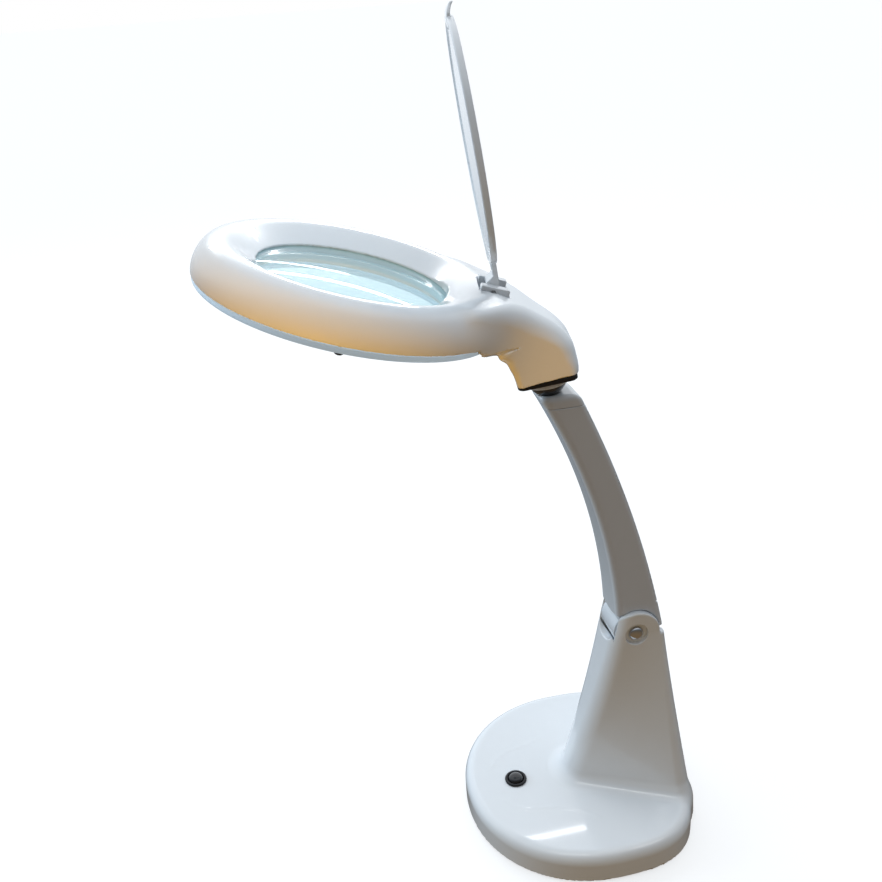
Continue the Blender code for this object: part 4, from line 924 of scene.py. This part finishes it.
# ------------------------------------------------------------------ lid
def lid_moulding(x, y, z):
    rho = np.hypot(x, y + LID_REACH)
    ax = np.abs(x)
    disc = round_max(rho - LID_R, np.maximum(1.35 - z, z - 2.9), 0.4)
    rim = round_max(round_max(rho - LID_R, 56.9 - rho, 0.3), np.abs(z - 2.5) - 1.75, 0.55)
    d = round_min(disc, rim, 0.6)
    # strap from the disc to the hinge, narrowing towards the knuckle
    wide, narrow = 15.0, 6.1
    strap_half = wide + (narrow - wide) * smooth_step(-24.0, -9.8, y)
    top = 3.1 + 1.2 * smooth_step(-22, -12, y) - 0.4 * smooth_step(-5, 0, y)
    bottom = 1.0 + 0.5 * smooth_step(-16, -9, y) - 4.2 * smooth_step(-7.4, -3.4, y)
    strap = round_max(ax - strap_half, np.maximum(z - top, bottom - z), 0.5)
    strap = round_max(strap, round_max(y, -22 - y, 0.3), 0.3)
    d = round_min(d, strap, 1.0)
    knuckle = round_max(np.hypot(y, z) - 3.15, ax - narrow, 0.4)
    d = round_min(d, knuckle, 0.6)
    # tab past the far edge of the disc, tapering and curving up
    past_edge = y + LID_REACH + LID_R
    tab_half = 9.0 - 4.2 * smooth_step(-0.5, -6, past_edge)
    tab_z = 1.9 + 0.075 * np.minimum(past_edge, 0) ** 2
    tab = round_max(ax - tab_half, np.abs(z - tab_z) - 0.9, 0.5)
    tab = round_max(tab, round_max(-5.9 - past_edge, past_edge - 5, 0.5), 0.6)
    d = round_min(d, tab, 1.2)
    return carve(d, np.hypot(y, z) - 1.3)       # pin hole


lid = fit(moulded("lid_moulding", lid_moulding, (-61, -140, -4.2), (61, 4.5, 8.0), 0.95, WHITE,
                  fine_x=((-13, 13, 0.7),),
                  fine_y=((-26, 5, 0.55), (-140, -126, 0.6)),
                  fine_z=((-5, 8, 0.45),), at=LID_FRAME),
          "lid", "lid")

# ------------------------------------------------------------------ floor
# Half size and height in metres; the floor lies just under the base.
FLOOR_HALF, FLOOR_Z = 60.0, -0.0002
floor_mesh = bpy.data.meshes.new("floor")
floor_corners = [(x * FLOOR_HALF, y * FLOOR_HALF, FLOOR_Z)
                 for x, y in ((-1, -1), (1, -1), (1, 1), (-1, 1))]
floor_mesh.from_pydata(floor_corners, [], [(0, 1, 2, 3)])
floor = link_object("floor", floor_mesh)
floor_mesh.materials.append(material("floor_pale", (0.42, 0.42, 0.42), rough=0.9, vary=0.005,
                                     grain=3, spec=0.0, emit=((0.97, 0.985, 1.0), 0.70)))
floor.visible_glossy = False
floor.visible_diffuse = False


# ------------------------------------------------------------------ camera
def placed(x_axis, y_axis, z_axis, location):
    """Matrix with the given columns."""
    rows = [list(row) for row in zip(x_axis, y_axis, z_axis, location)]
    return Matrix((*rows, (0, 0, 0, 1)))


def add_camera():
    # Azimuth is measured from -y towards +x.
    azimuth, elevation, roll = radians(79.68), radians(24.99), radians(-4.14)
    back = Vector((sin(azimuth) * cos(elevation), -cos(azimuth) * cos(elevation), sin(elevation)))
    forward = -back
    right = forward.cross(Vector((0, 0, 1))).normalized()
    up = right.cross(forward)
    data = bpy.data.cameras.new("camera")
    data.sensor_width = 36.0
    data.lens = 39.2616327
    data.shift_x, data.shift_y = -0.001, 0.0001
    data.clip_start = 0.01
    ob = link_object("camera", data)
    ob.matrix_world = placed(right * cos(roll) + up * sin(roll),
                             -right * sin(roll) + up * cos(roll),
                             back, (0.47216, -0.16570, 0.49931))
    scene = bpy.context.scene
    scene.camera = ob
    scene.view_settings.view_transform = 'Standard'
    scene.view_settings.look = 'None'


add_camera()

# ------------------------------------------------------------------ world
# Brightness over the sky, from low on the +x side (0) to high on the -x side (1)
SKY = [
    (0.10, (0.205, 0.142, 0.082, 1)),
    (0.92, (1.0, 1.04, 1.08, 1)),
    (0.30, (0.150, 0.120, 0.088, 1)),
    (0.48, (0.110, 0.108, 0.102, 1)),
    (0.62, (0.27, 0.32, 0.38, 1)),
    (0.76, (0.85, 0.91, 0.97, 1)),
]


def add_world():
    """Bright and cool above and towards -x, dim and warm below; plain white to the camera
    and to transmission rays."""
    world = bpy.data.worlds.new("studio")
    bpy.context.scene.world = world
    world.use_nodes = True
    nodes, link = world.node_tree.nodes, world.node_tree.links.new
    nodes.clear()

    def math_node(operation, *values):
        node = nodes.new("ShaderNodeMath")
        node.operation = operation
        for socket, value in zip(node.inputs, values):
            if isinstance(value, (int, float)):
                socket.default_value = value
            else:
                link(value, socket)
        return node.outputs[0]

    out = nodes.new("ShaderNodeOutputWorld")
    coords = nodes.new("ShaderNodeTexCoord")
    split = nodes.new("ShaderNodeSeparateXYZ")
    link(coords.outputs["Generated"], split.inputs[0])
    x, y, z = split.outputs
    side = math_node('ADD', math_node('MULTIPLY', x, 0.98), math_node('MULTIPLY', y, -0.18))
    aim = math_node('SUBTRACT', math_node('MULTIPLY', z, 0.8), math_node('MULTIPLY', side, 0.6))
    ramp = nodes.new("ShaderNodeValToRGB")
    link(math_node('MULTIPLY', math_node('ADD', aim, 1.0), 0.5), ramp.inputs[0])
    stops = ramp.color_ramp.elements
    for stop, (position, colour) in zip(list(stops), SKY[:2]):
        stop.position, stop.color = position, colour
    for position, colour in SKY[2:]:
        stops.new(position).color = colour
    sky = nodes.new("ShaderNodeBackground")
    link(ramp.outputs[0], sky.inputs["Color"])
    sky.inputs["Strength"].default_value = 1.0
    backdrop = nodes.new("ShaderNodeBackground")
    backdrop.inputs["Color"].default_value = (1, 1, 1, 1)
    backdrop.inputs["Strength"].default_value = 1.0
    path = nodes.new("ShaderNodeLightPath")
    mix = nodes.new("ShaderNodeMixShader")
    link(math_node('MAXIMUM', path.outputs["Is Camera Ray"],
                   path.outputs["Is Transmission Ray"]), mix.inputs[0])
    link(sky.outputs[0], mix.inputs[1])
    link(backdrop.outputs[0], mix.inputs[2])
    link(mix.outputs[0], out.inputs[0])


add_world()


# ------------------------------------------------------------------ lights (metres, watts)
def area_light(name, size, power):
    data = bpy.data.lights.new(name, 'AREA')
    data.energy = power
    data.size = size
    ob = link_object(name, data)
    ob.rotation_mode = 'QUATERNION'
    return ob


def light_piece(light, piece, exclude=False):
    """The light falls on this piece alone or, with exclude, on everything but it."""
    receivers = bpy.data.collections.new(light.name + ("_off" if exclude else "_on"))
    receivers.objects.link(piece)
    light.light_linking.receiver_collection = receivers
    if exclude:
        for entry in receivers.collection_objects:
            entry.light_linking.link_state = 'EXCLUDE'


def fill(name, location, aim, size, power, colour, piece, exclude=False):
    """A square light left out of reflections."""
    ob = area_light(name, size, power)
    ob.data.color = colour
    ob.location = location
    ob.rotation_quaternion = (Vector(aim) - Vector(location)).to_track_quat('-Z', 'Y')
    ob.visible_glossy = False
    light_piece(ob, piece, exclude)
    return ob


def window(name, target, direction, distance, width, height, level, piece):
    """A lit panel off in a direction from a target (mm), long along y, for one piece's
    reflections."""
    direction = Vector(direction).normalized()
    ob = area_light(name, width, level * pi * width * height)
    ob.data.shape = 'RECTANGLE'
    ob.data.size_y = height
    long_axis = Vector((0, 1, 0))
    x_axis = (long_axis - direction * long_axis.dot(direction)).normalized()
    location = Vector(target) * MM + direction * distance
    ob.matrix_world = placed(x_axis, direction.cross(x_axis), direction, location)
    ob.visible_diffuse = False
    ob.visible_transmission = False
    light_piece(ob, piece)


fill("key_above_left", location=(-1.1, -0.45, 1.5), aim=(0, -0.05, 0.2), size=0.8,
     power=5.0, colour=(0.93, 0.97, 1.0), piece=head, exclude=True)
fill("cool_front", location=(-0.5, -1.3, 0.45), aim=(0, 0, 0.2), size=0.7,
     power=7.5, colour=(0.66, 0.84, 1.0), piece=head, exclude=True)
fill("cool_over_head", location=(0.30, 0.10, 1.25), aim=(0.02, -0.03, 0.33), size=0.5,
     power=2.1, colour=(0.85, 0.94, 1.0), piece=head)
warm = fill("warm_side", location=(0.34, -0.34, 0.27), aim=(0.06, -0.13, 0.37), size=0.20,
            power=0.90, colour=(1.0, 0.50, 0.03), piece=head)
warm.visible_camera = False
fill("warm_low_side", location=(0.55, -0.25, 0.30), aim=(0.0, 0.0, 0.08), size=0.3,
     power=0.35, colour=(1.0, 0.68, 0.28), piece=base)
fill("cool_rim_fill", location=(0.9, -0.3, 0.6), aim=(0.0, -0.05, 0.42), size=0.3,
     power=1.2, colour=(0.86, 0.95, 1.0), piece=lid)

crest = HEAD_FRAME @ Vector((62, -22, 2.4))     # on top of the ring, at its +x side
# name, target (mm), direction, distance, width, height, level, piece
WINDOWS = [
    ("window_long_1", crest, (-0.88, 0.10, 0.44), 1.6, 1.5, 0.15, 22, head),
    ("window_long_2", crest, (-0.90, 0.12, 0.40), 1.6, 1.2, 0.03, 24, lens),
    ("window_long_3", crest, (-0.84, 0.10, 0.53), 1.6, 1.0, 0.02, 20, lens),
    ("window_long_4", crest, (-0.93, 0.02, 0.30), 1.6, 0.8, 0.02, 20, lens),
    ("window_bar_1", (52.5, -39.8, 20.3), (-0.649, 0.193, 0.736), 1.5, 0.18, 0.006, 20, base),
    ("window_bar_2", (54.0, 17.0, 20.3), (-0.623, 0.284, 0.728), 1.5, 0.11, 0.010, 20, base),
    ("window_top_1", (66.4, -34.0, 19.2), (0.28, -0.16, 0.94), 1.3, 0.50, 0.07, 6, base),
    ("window_top_2", (73.0, 6.0, 19.0), (0.32, 0.42, 0.86), 1.3, 0.40, 0.07, 7, base),
]
for row in WINDOWS:
    window(*row)
